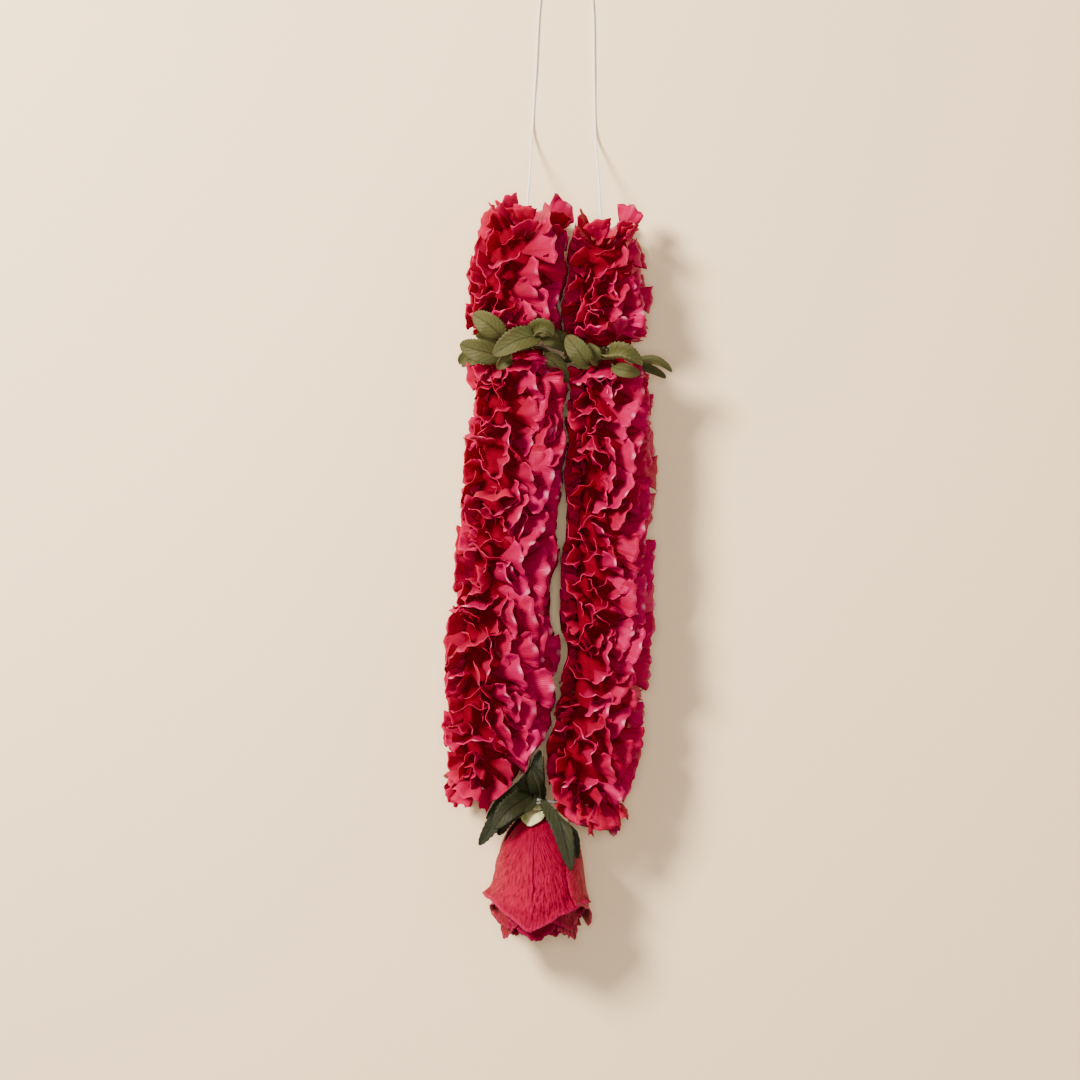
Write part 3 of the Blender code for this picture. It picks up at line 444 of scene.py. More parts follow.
@dataclass(frozen=True)
class BloomFinish:
    """An outer petal of the rose: light crimson, wrinkled along its length with painted light and shade on
    the wrinkles, painted shade towards the rim and on the inner whorls, and a keel and a rolled rim with
    painted highlights.
    """

    # The wrinkles' colours: painted light on their ridges, painted shade in their grooves.
    light: Colour = (0.34, 0.0, 0.030)
    middle: Colour = (0.27, 0.0, 0.021)
    groove_shade: Colour = (0.14, 0.0, 0.010)
    # The darker colour for one face of each petal and for the inner whorls: painted shade.
    inside: Colour = (0.14, 0.0, 0.009)
    # The rolled rim and the keel are painted lighter: painted highlight.
    lip: Colour = (0.46, 0.004, 0.075)
    # How much wider the fan of wrinkles is at the rim than at the root, and its spread at the root.
    fan: tuple[float, float] = (0.75, 0.25)
    wrinkles_across: float = 40.0
    wrinkles_along: float = 11.0
    rim_shade_share: float = 0.55
    inner_ring_shade: float = 0.75
    lip_highlight_share: float = 0.5
    keel_highlight_share: float = 0.2
    keel_width: float = 0.026
    keel_wander: float = 0.10

    def make(self) -> bpy.types.Material:
        """Makes the material.

        Returns:
            The material.
        """
        sheet = NodeSheet("wrinkled_rose_petal")
        across, along = sheet.uv()
        inner = sheet.attribute(INNER_FACE)
        tint = sheet.attribute(TINT)
        spread = sheet.math("MULTIPLY_ADD", along, *self.fan)
        fan = sheet.math("DIVIDE", sheet.math("SUBTRACT", across, 0.5), spread)
        place = sheet.node("CombineXYZ")
        sheet.feed(sheet.math("MULTIPLY", fan, self.wrinkles_across), place.inputs[0])
        sheet.feed(sheet.math("MULTIPLY", along, self.wrinkles_along), place.inputs[1])
        wrinkles = sheet.noise(1.0, detail=5.0, vector=place.outputs[0])
        fine = sheet.uv_noise(110.0, 34.0)
        # Painted light on the wrinkles' ridges and painted shade in their grooves; painted shade towards the
        # rim below.
        colour = sheet.ramp(wrinkles, (0.34, self.groove_shade), (0.48, self.middle), (0.64, self.light))
        colour = sheet.mix(sheet.rise(along, 0.80, 1.0, top=self.rim_shade_share), colour, self.groove_shade)
        # One face of each petal gets the darker inside colour: painted shade.
        colour = sheet.mix(inner, self.inside, colour)
        # The inner whorls are painted darker: painted shade.
        ring = sheet.math("MULTIPLY_ADD", tint, -self.inner_ring_shade, self.inner_ring_shade)
        colour = sheet.mix(ring, colour, self.inside)
        # A painted highlight along the rolled rim.
        colour = sheet.mix(sheet.rise(along, 0.965, 0.99, top=self.lip_highlight_share), colour, self.lip)
        wander = sheet.uv_noise(0.1, 6.0, detail=1.0)
        wander = sheet.math("MULTIPLY_ADD", wander, self.keel_wander, -0.5 * self.keel_wander)
        keel = sheet.rise(sheet.math("ABSOLUTE", sheet.math("ADD", fan, wander)), self.keel_width, 0.0)
        keel = sheet.math("MULTIPLY", keel, sheet.rise(along, 0.96, 0.8))
        # A painted highlight along the keel.
        colour = sheet.mix(sheet.math("MULTIPLY", keel, self.keel_highlight_share), colour, self.lip)
        sheet.feed(colour, "Base Color")
        relief = sheet.math("MULTIPLY_ADD", fine, 0.25, sheet.math("MULTIPLY_ADD", keel, 0.6, wrinkles))
        sheet.bump(relief, strength=1.0, distance=0.0018)
        sheet.constant(Roughness=0.5, Specular_IOR_Level=0.4, Specular_Tint=(1.0, 0.05, 0.2, 1.0))
        sheet.constant(Subsurface_Weight=0.1, Subsurface_Radius=(1.0, 0.06, 0.08), Subsurface_Scale=0.002)
        return sheet.material


@dataclass(frozen=True)
class LeafFinish:
    """A rose leaf: matt green with a dark midrib and side veins, browner in places, paler below."""

    name: str = "rose_leaf_green"
    dark: Colour = (0.028, 0.027, 0.006)
    light: Colour = (0.082, 0.076, 0.019)
    below: Colour = (0.18, 0.165, 0.062)
    worn: Colour = (0.085, 0.060, 0.017)
    side_veins: float = 9.0
    slant: float = 0.55
    light_share: float = 0.55
    worn_share: float = 0.75
    vein_share: float = 0.3
    midrib_share: float = 0.6
    below_share: float = 0.6

    def make(self) -> bpy.types.Material:
        """Makes the material.

        Returns:
            The material.
        """
        sheet = NodeSheet(self.name)
        across, along = sheet.uv()
        aside = sheet.off_middle(across)
        slanted = sheet.math("MULTIPLY_ADD", aside, -self.slant, along)
        vein = sheet.rise(sheet.stripes(slanted, self.side_veins), 0.22, 0.02)
        midrib = sheet.rise(aside, 0.045, 0.012)
        web = sheet.uv_noise(26.0, 34.0)
        blotch = sheet.noise(120.0, detail=3.0)
        colour = sheet.mix(web, self.dark, self.light)
        light = sheet.math("MULTIPLY", sheet.attribute(TINT), self.light_share)
        colour = sheet.mix(light, colour, self.light)
        colour = sheet.mix(sheet.rise(blotch, 0.52, 0.74, top=self.worn_share), colour, self.worn)
        colour = sheet.mix(sheet.math("MULTIPLY", vein, self.vein_share), colour, self.dark)
        colour = sheet.mix(sheet.math("MULTIPLY", midrib, self.midrib_share), colour, self.dark)
        underside = sheet.math("SUBTRACT", 1.0, sheet.attribute(INNER_FACE))
        colour = sheet.mix(sheet.math("MULTIPLY", underside, self.below_share), colour, self.below)
        sheet.feed(colour, "Base Color")
        lines = sheet.math("MAXIMUM", vein, midrib)
        relief = sheet.math("SUBTRACT", sheet.math("MULTIPLY", web, 0.35), lines)
        sheet.bump(relief, strength=0.6, distance=0.0011)
        sheet.feed(sheet.math("MULTIPLY_ADD", web, 0.2, 0.5), "Roughness")
        sheet.constant(Specular_IOR_Level=0.2)
        return sheet.material


# A darker copy of the leaf finish for the leaves below the knot: painted shade where they lie among the
# strands and the rose.
SHADED_PENDANT_LEAF = LeafFinish(
    name="shaded_pendant_leaf_green",
    dark=(0.005, 0.006, 0.002),
    light=(0.022, 0.023, 0.006),
    below=(0.07, 0.07, 0.024),
    worn=(0.03, 0.025, 0.007),
)


@dataclass(frozen=True)
class SepalFinish:
    """The rose's hip and sepals: cream-green, smooth and slightly waxy."""

    cream: Colour = (0.64, 0.54, 0.27)
    green: Colour = (0.24, 0.26, 0.075)

    def make(self) -> bpy.types.Material:
        """Makes the material.

        Returns:
            The material.
        """
        sheet = NodeSheet("cream_green_sepal")
        blotch = sheet.rise(sheet.noise(150.0, detail=4.0), 0.42, 0.68)
        sheet.feed(sheet.mix(blotch, self.cream, self.green), "Base Color")
        sheet.bump(sheet.noise(900.0, detail=2.0), strength=0.3, distance=0.0003)
        sheet.constant(Roughness=0.45)
        return sheet.material


@dataclass(frozen=True)
class CottonFinish:
    """Fine white cotton thread with a slight twist."""

    light: Colour = (0.93, 0.91, 0.87)
    shade: Colour = (0.78, 0.75, 0.70)
    twist_scale: float = 900.0
    unevenness: float = 3.0

    def make(self) -> bpy.types.Material:
        """Makes the material.

        Returns:
            The material.
        """
        sheet = NodeSheet("white_cotton_thread")
        twist = sheet.node("TexWave", wave_type="BANDS", bands_direction="DIAGONAL")
        place = sheet.node("TexCoord").outputs["Object"]
        for key, value in {"Scale": self.twist_scale, "Distortion": self.unevenness, "Vector": place}.items():
            sheet.feed(value, twist.inputs[key])
        sheet.feed(sheet.mix(twist.outputs["Fac"], self.shade, self.light), "Base Color")
        sheet.bump(twist.outputs["Fac"], strength=0.5, distance=0.0002)
        sheet.constant(Roughness=0.85, Sheen_Weight=0.3)
        return sheet.material


@dataclass(frozen=True)
class FloorFinish:
    """The pale, warm floor."""

    light: Colour = (0.99, 0.73, 0.44)
    shade: Colour = (0.93, 0.66, 0.37)

    def make(self) -> bpy.types.Material:
        """Makes the material.

        Returns:
            The material.
        """
        sheet = NodeSheet("pale_floor")
        grain = sheet.math("MULTIPLY", sheet.noise(9.0, detail=5.0), 0.2)
        sheet.feed(sheet.mix(grain, self.light, self.shade), "Base Color")
        sheet.constant(Roughness=0.9)
        return sheet.material


# Meshes


def shown_piece(bm: bmesh.types.BMesh, name: str, finishes: Sequence[bpy.types.Material]) -> bpy.types.Object:
    """A smooth-shaded piece made of a mesh in millimetres, which it frees.

    Args:
        bm: the mesh.
        name: the piece's name.
        finishes: its materials, in the order of the faces' material numbers.

    Returns:
        The piece, in the scene.
    """
    bmesh.ops.scale(bm, vec=(MM, MM, MM), verts=bm.verts)
    mesh = bpy.data.meshes.new(name)
    bm.to_mesh(mesh)
    bm.free()
    mesh.shade_smooth()
    for finish in finishes:
        mesh.materials.append(finish)
    made = bpy.data.objects.new(name, mesh)
    bpy.context.collection.objects.link(made)
    return made


def put_in_place(piece: bpy.types.Object, node: str) -> None:
    """Lets a piece ride on the garland and stand for a CAD node.

    Args:
        piece: the finished piece.
        node: the CAD node that the piece stands for.
    """
    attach(piece, "root")
    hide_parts(node)
    faces = f"{len(piece.data.polygons)} faces" if piece.type == "MESH" else "a round curve"
    LOG.info("%s stands for %s: %s", piece.name, node, faces)


def layered_mesh() -> bmesh.types.BMesh:
    """Starts a mesh with the layers that blades bring with them.

    Returns:
        The empty mesh.
    """
    bm = bmesh.new()
    bm.verts.layers.float.new(INNER_FACE)
    bm.verts.layers.float.new(TINT)
    bm.loops.layers.uv.new(BLADE_UV)
    return bm


class Blank:
    """A thin two-sided blank that petals and leaves are shaped from."""

    def __init__(self, columns: int, rows: Sequence[float], thickness: float) -> None:
        """Makes the blank.

        Args:
            columns: the number of faces across.
            rows: the places of its rows, from 0 at the root to 1 at the rim.
            thickness: its thickness.
        """
        self.columns, self.rows, self.thickness = columns, rows, thickness
        bm = layered_mesh()
        bmesh.ops.create_grid(bm, x_segments=columns, y_segments=len(rows) - 1, size=0.5)
        bmesh.ops.translate(bm, vec=(0.5, 0.5, 0.0), verts=bm.verts)
        bmesh.ops.solidify(bm, geom=bm.faces[:], thickness=0.1)
        middle = sum(vert.co.z for vert in bm.verts) / len(bm.verts)
        inner, uv = bm.verts.layers.float[INNER_FACE], bm.loops.layers.uv[BLADE_UV]
        self.places: list[tuple[int, int, float]] = []
        for vert in bm.verts:
            column, row = round(vert.co.x * columns), round(vert.co.y * (len(rows) - 1))
            vert[inner] = 1.0 if vert.co.z > middle else 0.0
            self.places.append((column, row, vert[inner] - 0.5))
        for face in bm.faces:
            for loop in face.loops:
                column, row, _ = self.places[loop.vert.index]
                loop[uv].uv = (column / columns, rows[row])
        self.mesh = bpy.data.meshes.new("blank")
        bm.to_mesh(self.mesh)
        bm.free()

    def shape(self, bm: bmesh.types.BMesh, surface: Surface, tint: float) -> None:
        """Adds one blade to a mesh and bends it to a surface.

        Args:
            bm: the mesh to add to.
            surface: the point at u across, from -1 to 1, and v along, from 0 to 1.
            tint: the blade's own share of colour change, from 0 to 1.
        """
        first = len(bm.verts)
        bm.from_mesh(self.mesh)
        bm.verts.ensure_lookup_table()
        columns = range(self.columns + 1)
        points = [[surface(2.0 * i / self.columns - 1.0, v) for i in columns] for v in self.rows]
        normals = [[self.normal_at(points, i, j) for i in columns] for j in range(len(self.rows))]
        layer = bm.verts.layers.float[TINT]
        for k, (column, row, offset) in enumerate(self.places):
            vert = bm.verts[first + k]
            vert.co = points[row][column] + normals[row][column] * (offset * self.thickness)
            vert[layer] = tint

    def normal_at(self, points: list[list[Vector]], i: int, j: int) -> Vector:
        """The surface's normal at one of its points, on the inner face's side.

        Args:
            points: the rows of points.
            i: the point's column.
            j: the point's row.

        Returns:
            The normal, one unit long.
        """
        left, right = max(i - 1, 0), min(i + 1, self.columns)
        below, above = max(j - 1, 0), min(j + 1, len(self.rows) - 1)
        across = points[j][right] - points[j][left]
        along = points[above][i] - points[below][i]
        if across.length < POINTED:
            row = above if j < len(self.rows) / 2 else below
            across = points[row][right] - points[row][left]
        return across.cross(along).normalized()


def tube(
    bm: bmesh.types.BMesh, points: Sequence[Vector], radii: Sequence[float], sides: int, finish: int = 0
) -> None:
    """Adds a closed tube along points, extruded ring by ring.

    Args:
        bm: the mesh to add to.
        points: the places of the rings.
        radii: the ring radius at each place.
        sides: the number of faces round it.
        finish: the material number of its faces.
    """
    first_face = len(bm.faces)
    edges: list[bmesh.types.BMEdge] = []
    place = Matrix()
    for k, (point, radius) in enumerate(zip(points, radii)):
        before = place
        ahead = points[min(k + 1, len(points) - 1)] - points[max(k - 1, 0)]
        place = Matrix.Translation(point) @ ahead.to_track_quat("Z", "X").to_matrix().to_4x4()
        if k == 0:
            made = bmesh.ops.create_circle(bm, cap_ends=True, segments=sides, radius=radius, matrix=place)
            edges = list({edge for vert in made["verts"] for edge in vert.link_edges})
            continue
        made = bmesh.ops.extrude_edge_only(bm, edges=edges)["geom"]
        ring = [item for item in made if isinstance(item, bmesh.types.BMVert)]
        growth = radius / radii[k - 1]
        scaled = Matrix.Diagonal((growth, growth, 1.0, 1.0))
        bmesh.ops.transform(bm, matrix=place @ scaled @ before.inverted(), verts=ring)
        edges = [item for item in made if isinstance(item, bmesh.types.BMEdge)]
    bmesh.ops.contextual_create(bm, geom=edges)
    bm.faces.ensure_lookup_table()
    made_faces = bm.faces[first_face:]
    for face in made_faces:
        face.material_index = finish
    bmesh.ops.recalc_face_normals(bm, faces=made_faces)


# Strands


class Route:
    """The thread's route through one strand, with the petal radius at each place."""

    SAMPLES = 20

    def __init__(self, rows: Rows, axis_z: float) -> None:
        """Lays the route.

        Args:
            rows: rows of x, y and petal radius, from the top down.
            axis_z: its height.
        """
        count = (len(rows) - 1) * self.SAMPLES
        found = [spline_point(rows, i / self.SAMPLES) for i in range(count + 1)]
        self.points = [Vector((x, y, axis_z)) for x, y, _ in found]
        self.radii = [radius for _, _, radius in found]
        self.lengths = [0.0]
        for a, b in zip(self.points, self.points[1:]):
            self.lengths.append(self.lengths[-1] + (b - a).length)

    def at(self, length: float) -> tuple[Vector, Vector, float]:
        """A place on the route.

        Args:
            length: how far it is from the top.

        Returns:
            The point, the direction up towards the neck, and the petal radius.
        """
        i = 0
        while i < len(self.points) - 2 and self.lengths[i + 1] < length:
            i += 1
        f = (length - self.lengths[i]) / (self.lengths[i + 1] - self.lengths[i])
        point = self.points[i] + (self.points[i + 1] - self.points[i]) * f
        upward = (self.points[i] - self.points[i + 1]).normalized()
        return point, upward, self.radii[i] + (self.radii[i + 1] - self.radii[i]) * min(max(f, 0.0), 1.0)

    def length_at_y(self, y: float) -> float:
        """How far from the top the route first reaches a height in the picture.

        Args:
            y: that height.

        Returns:
            The length.
        """
        i = next(k for k, p in enumerate(self.points) if p.y <= y)
        above, below = self.points[i - 1].y, self.points[i].y
        return self.lengths[i - 1] + (self.lengths[i] - self.lengths[i - 1]) * (above - y) / (above - below)

    def stations(self, start: float, end: float, step: float) -> list[tuple[Vector, Vector, float]]:
        """Even places along a stretch of the route.

        Args:
            start: the first place's length from the top.
            end: the last place's.
            step: about how far apart they are.

        Returns:
            The point, the direction up and the petal radius of each place.
        """
        count = max(2, round((end - start) / step))
        return [self.at(start + (end - start) * i / count) for i in range(count + 1)]


@dataclass
class StrandForm:
    """One side of the garland: its route, its edge towards the other side, its collar and its end."""

    side: Side
    rows: Rows
    axis_z: float
    edge: Rows
    collar_y: float
    end_y: float
    cord_start: Rows
    thread_end: Rows
    edge_softness: float = 0.9
    inner_spread: float = 0.4
    inner_wave: float = 0.4
    outer_room: float = 4.0
    outer_softness: float = 2.6
    outer_spread: float = 1.9
    outer_wave: float = 1.5
    # How fast the edges' wave runs with y, with z and with a petal's margin.
    wave_rates: tuple[float, float, float] = (0.7, 0.25, 2.2)
    floor_margin: float = 0.3
    floor_softness: float = 0.8

    def __post_init__(self) -> None:
        """Works out the route and the places on it."""
        self.route = Route(self.rows, self.axis_z)
        self.collar = self.route.length_at_y(self.collar_y)
        self.end = self.route.length_at_y(self.end_y)
        self.sign = 1.0 if self.side is Side.LEFT else -1.0
        self.outline = [(y, x - self.sign * (radius + self.outer_room)) for x, y, radius in self.rows]

    def short_of_edge(self, point: Vector, gap: float = 0.0) -> float:
        """How far a point is towards the other side, eased so that it stays short of the edge.

        Args:
            point: the point.
            gap: how far short of the edge it has to stay.

        Returns:
            The eased x, turned so that it grows towards the other side.
        """
        limit = line_at(self.edge, point.y) * self.sign - gap
        return eased_below(self.sign * point.x, limit, self.edge_softness)

    def beside_line(self, point: Vector, margin: float) -> None:
        """Keeps a point between the strand's edge towards the other side and its outer edge.

        Args:
            point: the point, which is moved.
            margin: the petal's own distance from both edges.
        """
        by_y, by_z, by_margin = self.wave_rates
        wave = 0.5 + 0.5 * math.sin(by_y * point.y + by_z * point.z + by_margin * margin)
        inside = self.short_of_edge(point, self.inner_spread * margin + self.inner_wave * wave)
        outer = line_at(self.outline, point.y) * self.sign
        outer += self.outer_spread * margin + self.outer_wave * wave
        point.x = -self.sign * eased_below(-inside, -outer, self.outer_softness)

    def above_floor(self, point: Vector) -> Vector:
        """The point, pressed against the floor where it would pass it."""
        point.z = -eased_below(-point.z, -self.floor_margin, self.floor_softness)
        return point

    def from_collar(self, point: Vector) -> tuple[Vector, float, float]:
        """Where a point is, seen from the middle of the leaf collar.

        Args:
            point: the point.

        Returns:
            The direction up the strand, the height along it and the distance from it.
        """
        centre, upward, _ = self.route.at(self.collar)
        offset = point - centre
        height = offset.dot(upward)
        return upward, height, (offset - upward * height).length


@dataclass
class Petal:
    """One folded rose petal, threaded at its root: a fan that arches over, with a curled rim."""

    root: Vector
    frame: list[Vector]
    length: float
    fold: float
    wave: float
    spread: float
    bend: float
    reflex: float
    roundness: float
    root_fold: float = 0.5
    ruffle: float = 0.072
    pleat: float = 0.014
    corner_curl: float = 0.14
    # The rim's shares of the petal's length.
    tip: float = 0.045
    tip_width: float = 0.09
    rim_wave: float = 0.022
    tooth: float = 0.028
    corner_cut: float = 0.10

    def rim(self, u: float) -> float:
        """The rim's distance from the root.

        Args:
            u: the place across the petal, from -1 to 1.

        Returns:
            The distance, as a share of the petal's length.
        """
        straight = math.cos(self.spread) / math.cos(self.spread * u)
        tip = self.tip * math.exp(-((u / self.tip_width) ** 2))
        wavy = self.rim_wave * math.cos(self.wave + 6.0 * u)
        teeth = self.tooth * math.cos(5.0 * math.pi * (u + 1.0)) * (0.5 + 0.5 * math.sin(self.wave + 5.0 * u))
        return 0.2 + 0.8 * straight + tip + wavy + teeth - self.corner_cut * abs(u) ** 14

    def point(self, u: float, v: float) -> Vector:
        """A point of the petal.

        Args:
            u: the place across it, from -1 to 1.
            v: the place from its root to its rim.

        Returns:
            The point.
        """
        along, opening, across = self.frame
        reach = self.length * v * (1.0 + (self.rim(u) - 1.0) * smooth_step(v, 0.2, 1.0))
        aside = reach * math.sin(self.spread * u)
        phi = self.bend * reach * math.cos(self.spread * u) / self.length
        fold = self.fold * (self.root_fold + (1.0 - self.root_fold) * smooth_step(v, 0.0, 0.8))
        near_rim = smooth_step(v, 0.62, 1.0)
        lift = -self.reflex * near_rim * near_rim - self.corner_curl * near_rim * abs(u) ** 3
        place = Vector((1.9 * u, 1.6 * v, self.wave * 7.0))
        lift += self.ruffle * (0.4 + near_rim) * smooth_step(v, 0.1, 0.6) * noise.noise(place)
        lift += self.pleat * smooth_step(v, 0.3, 0.9) * math.sin(self.wave + 9.0 * u)
        lift = self.length * lift + (math.hypot(aside, self.roundness) - self.roundness) * math.cos(fold)
        radius = self.length / self.bend
        arched = along * (radius * math.sin(phi)) + opening * (radius * (1.0 - math.cos(phi)))
        inwards = opening * math.cos(phi) - along * math.sin(phi)
        return self.root + arched + inwards * lift + across * (aside * math.sin(fold))


@dataclass(frozen=True)
class PetalPlace:
    """Where one petal is threaded and how it stands; angles are in degrees."""

    length: float
    azimuth: float
    lean: float
    sweep: float
    twist: float
    share: float
    fold: float
    bend: float


@dataclass
class PetalRun:
    """A run of folded petals on one strand, between two places along its route."""

    strand: StrandForm
    top: float
    bottom: float
    top_end: RunEnd
    bottom_end: RunEnd
    seed: int
    # Along the strand: petals in a spiral, one step apart.
    step: float = 1.4
    golden_angle: float = 137.508
    crowding: float = 18.0
    crowded_azimuth: float = 125.0
    root_share: float = 0.42
    size: float = 1.5
    size_share: tuple[float, float] = (0.88, 1.16)
    inner_reach: float = 0.14
    sweep: float = 48.0
    droop: float = 6.0
    fold: float = 66.0
    fold_jitter: tuple[float, float] = (-12.0, 10.0)
    twist_jitter: tuple[float, float] = (-40.0, 30.0)
    turn_jitter: float = 6.0
    tilt_jitter: float = 15.0
    yaw_jitter: float = 16.0
    spread: tuple[float, float] = (25.0, 37.0)
    bend: tuple[float, float] = (25.0, 65.0)
    reflex: tuple[float, float] = (0.02, 0.12)
    roundness: tuple[float, float] = (2.0, 7.0)
    # Near the run's ends.
    end_reach: float = 26.0
    top_lean: float = 52.0
    bottom_lean: float = 60.0
    collar_lean: float = 20.0
    closing: float = 22.0
    # Petals on the viewer's side that are turned edge-on.
    raised_azimuth: float = 112.0
    raised_twist: tuple[float, float] = (35.0, 80.0)
    raised_fold: float = 16.0
    raised_straighter: float = 0.45
    # Smaller petals between them.
    fillers: int = 1
    filler_share: tuple[float, float] = (0.5, 0.85)
    filler_azimuths: tuple[float, float] = (-50.0, 250.0)
    filler_sweep: tuple[float, float] = (10.0, 60.0)
    filler_twist: tuple[float, float] = (-60.0, 60.0)
    filler_bend: tuple[float, float] = (10.0, 60.0)
    # The crown of petals at each end.
    crown_petals: int = 7
    crown_inset: float = 2.5
    crown_azimuth: float = 72.0
    crown_turn: float = 15.0
    crown_round: float = 367.0
    crown_lean: tuple[float, float] = (42.0, 78.0)
    collar_crown_lean: float = 24.0
    crown_share: tuple[float, float] = (0.8, 1.05)
    crown_bend: float = 30.0
    hanging: float = 1.3
    # The core of packed petal bases: three tubes side by side.
    core_share: float = 0.47
    core_aside: float = 0.26
    aside_share: float = 0.75
    end_share: float = 0.8
    core_step: float = 12.0
    core_sides: int = 16
    # Room for the collar, and how far a petal may be pushed before it is made smaller.
    collar_reach: float = 40.0
    collar_room: float = 1.2
    collar_flare: float = 0.22
    collar_softness: float = 0.9
    margin_step: float = 0.45
    shares: Sequence[float] = (1.0, 0.92, 0.84, 0.76, 0.68, 0.6)
    most_pushed: float = 4.0

    def settle(self, point: Vector, margin: float) -> Vector:
        """Eases a point to the strand's own side, clear of the collar and above the floor.

        Args:
            point: the point.
            margin: the petal's own distance from what is round it.

        Returns:
            The eased point.
        """
        point = point.copy()
        self.strand.beside_line(point, margin)
        side = 1.0 if self.bottom <= self.strand.collar else -1.0
        upward, height, out = self.strand.from_collar(point)
        if abs(height) < self.collar_reach:
            room = self.collar_room + self.collar_flare * out + margin
            eased = side * -eased_below(-side * height, -room, self.collar_softness)
            point += upward * (eased - height)
        return self.strand.above_floor(point)

    def fits(self, petal: Petal, margin: float) -> bool:
        """Shrinks a petal until its surroundings hardly push it.

        Args:
            petal: the petal, whose length is changed.
            margin: its own distance from what is round it.

        Returns:
            False where it would be a stub.
        """
        full = petal.length
        for share in self.shares:
            petal.length = full * share
            ends = [petal.point(u, v) for v in (0.6, 1.0) for u in (-1.0, -0.5, 0.0, 0.5, 1.0)]
            if max((self.settle(end, margin) - end).length for end in ends) < self.most_pushed:
                return True
        return False

    def strand_places(self, draw: random.Random) -> Iterator[PetalPlace]:
        """The places of the petals in a spiral, and of the smaller petals between them.

        Args:
            draw: where the variation is drawn from.

        Returns:
            The places, one by one.
        """
        count = round((self.bottom - self.top) / self.step)
        top_open, bottom_open = self.top_end is RunEnd.OPEN, self.bottom_end is RunEnd.OPEN
        for i in range(count):
            length = self.top + (i + 0.5) * (self.bottom - self.top) / count
            near_top = max(0.0, 1.0 - (length - self.top) / self.end_reach)
            near_bottom = max(0.0, 1.0 - (self.bottom - length) / self.end_reach)
            lean = near_top * (self.top_lean if top_open else -self.collar_lean) - self.droop
            lean -= near_bottom * (self.bottom_lean if bottom_open else -self.collar_lean)
            at_end = max(near_top if top_open else 0.0, near_bottom if bottom_open else 0.0)
            at_collar = max(0.0 if top_open else near_top, 0.0 if bottom_open else near_bottom)
            azimuth = i * self.golden_angle
            azimuth -= self.crowding * math.sin(math.radians(azimuth - self.crowded_azimuth))
            sweep = self.sweep * (1.0 - 0.8 * at_end)
            fold = self.fold - self.closing * at_collar + draw.uniform(*self.fold_jitter)
            bend = draw.uniform(*self.bend) * (1.0 - 0.5 * at_end)
            twist = draw.uniform(*self.twist_jitter)
            pointing = azimuth - sweep
            raised = math.cos(math.radians(pointing - self.raised_azimuth))
            raised = smooth_step(raised, 0.7, 0.95) * (1.0 - at_end)
            twist += raised * draw.choice((-1.0, 1.0)) * draw.uniform(*self.raised_twist)
            fold, bend = fold - raised * self.raised_fold, bend * (1.0 - self.raised_straighter * raised)
            inwards = max(0.0, math.cos(math.radians(pointing)) * self.strand.sign)
            share = draw.uniform(*self.size_share) * (1.0 + self.inner_reach * inwards)
            yield PetalPlace(length, azimuth, lean, sweep, twist, share, fold, bend)
            for _ in range(self.fillers):
                ranges = (self.filler_azimuths, self.filler_sweep, self.filler_twist, self.filler_share)
                azimuth, sweep, twist, share = (draw.uniform(*pair) for pair in ranges)
                bend = draw.uniform(*self.filler_bend)
                yield PetalPlace(length, azimuth, lean, sweep, twist, share, self.fold, bend)

    def crown_places(self, draw: random.Random) -> Iterator[PetalPlace]:
        """The places of the petals that cover both ends, twice as many where an end is open.

        Args:
            draw: where the variation is drawn from.

        Returns:
            The places, one by one.
        """
        for end, down, kind in ((self.top, 1.0, self.top_end), (self.bottom, -1.0, self.bottom_end)):
            is_open = kind is RunEnd.OPEN
            for k in range(self.crown_petals * (2 if is_open else 1)):
                length = end + down * self.crown_inset * (1.0 + k // self.crown_petals)
                azimuth = self.crown_azimuth + self.crown_turn * down
                azimuth += self.crown_round * k / self.crown_petals
                lean = draw.uniform(*self.crown_lean) if is_open else -self.collar_crown_lean
                share = draw.uniform(*self.crown_share)
                if is_open and down < 0.0:
                    share *= self.hanging
                lean, twist = down * lean, -90.0 * down
                yield PetalPlace(length, azimuth, lean, 0.0, twist, share, self.fold, self.crown_bend)

    def petals(self) -> Iterator[tuple[Petal, float]]:
        """Makes the run's petals.

        Returns:
            The petals one by one, each with its tint.
        """
        draw = random.Random(self.seed)
        for place in itertools.chain(self.strand_places(draw), self.crown_places(draw)):
            centre, upward, radius = self.strand.route.at(place.length)
            turn = math.radians(place.azimuth + draw.uniform(-self.turn_jitter, self.turn_jitter))
            lateral = upward.cross(OUTWARD).normalized()
            out = lateral * math.cos(turn) + OUTWARD * math.sin(turn)
            opening = lateral * math.sin(turn) - OUTWARD * math.cos(turn)
            lean = place.lean + draw.uniform(-self.tilt_jitter, self.tilt_jitter)
            sweep = place.sweep + draw.uniform(-self.yaw_jitter, self.yaw_jitter)
            tilt = Matrix.Rotation(-math.radians(lean), 3, opening)
            yaw = Matrix.Rotation(math.radians(sweep), 3, upward)
            roll = Matrix.Rotation(math.radians(place.twist), 3, out)
            limits = (self.spread, self.reflex, self.roundness, (0.0, math.tau))
            spread, reflex, roundness, wave = (draw.uniform(*pair) for pair in limits)
            petal = Petal(
                root=centre + out * (self.root_share * radius),
                frame=[tilt @ (yaw @ (roll @ way)) for way in (out, opening, upward)],
                length=(1.0 - self.root_share) * radius * self.size * place.share,
                fold=math.radians(place.fold),
                wave=wave,
                spread=math.radians(spread),
                bend=math.radians(place.bend),
                reflex=reflex,
                roundness=roundness,
            )
            yield petal, draw.random()

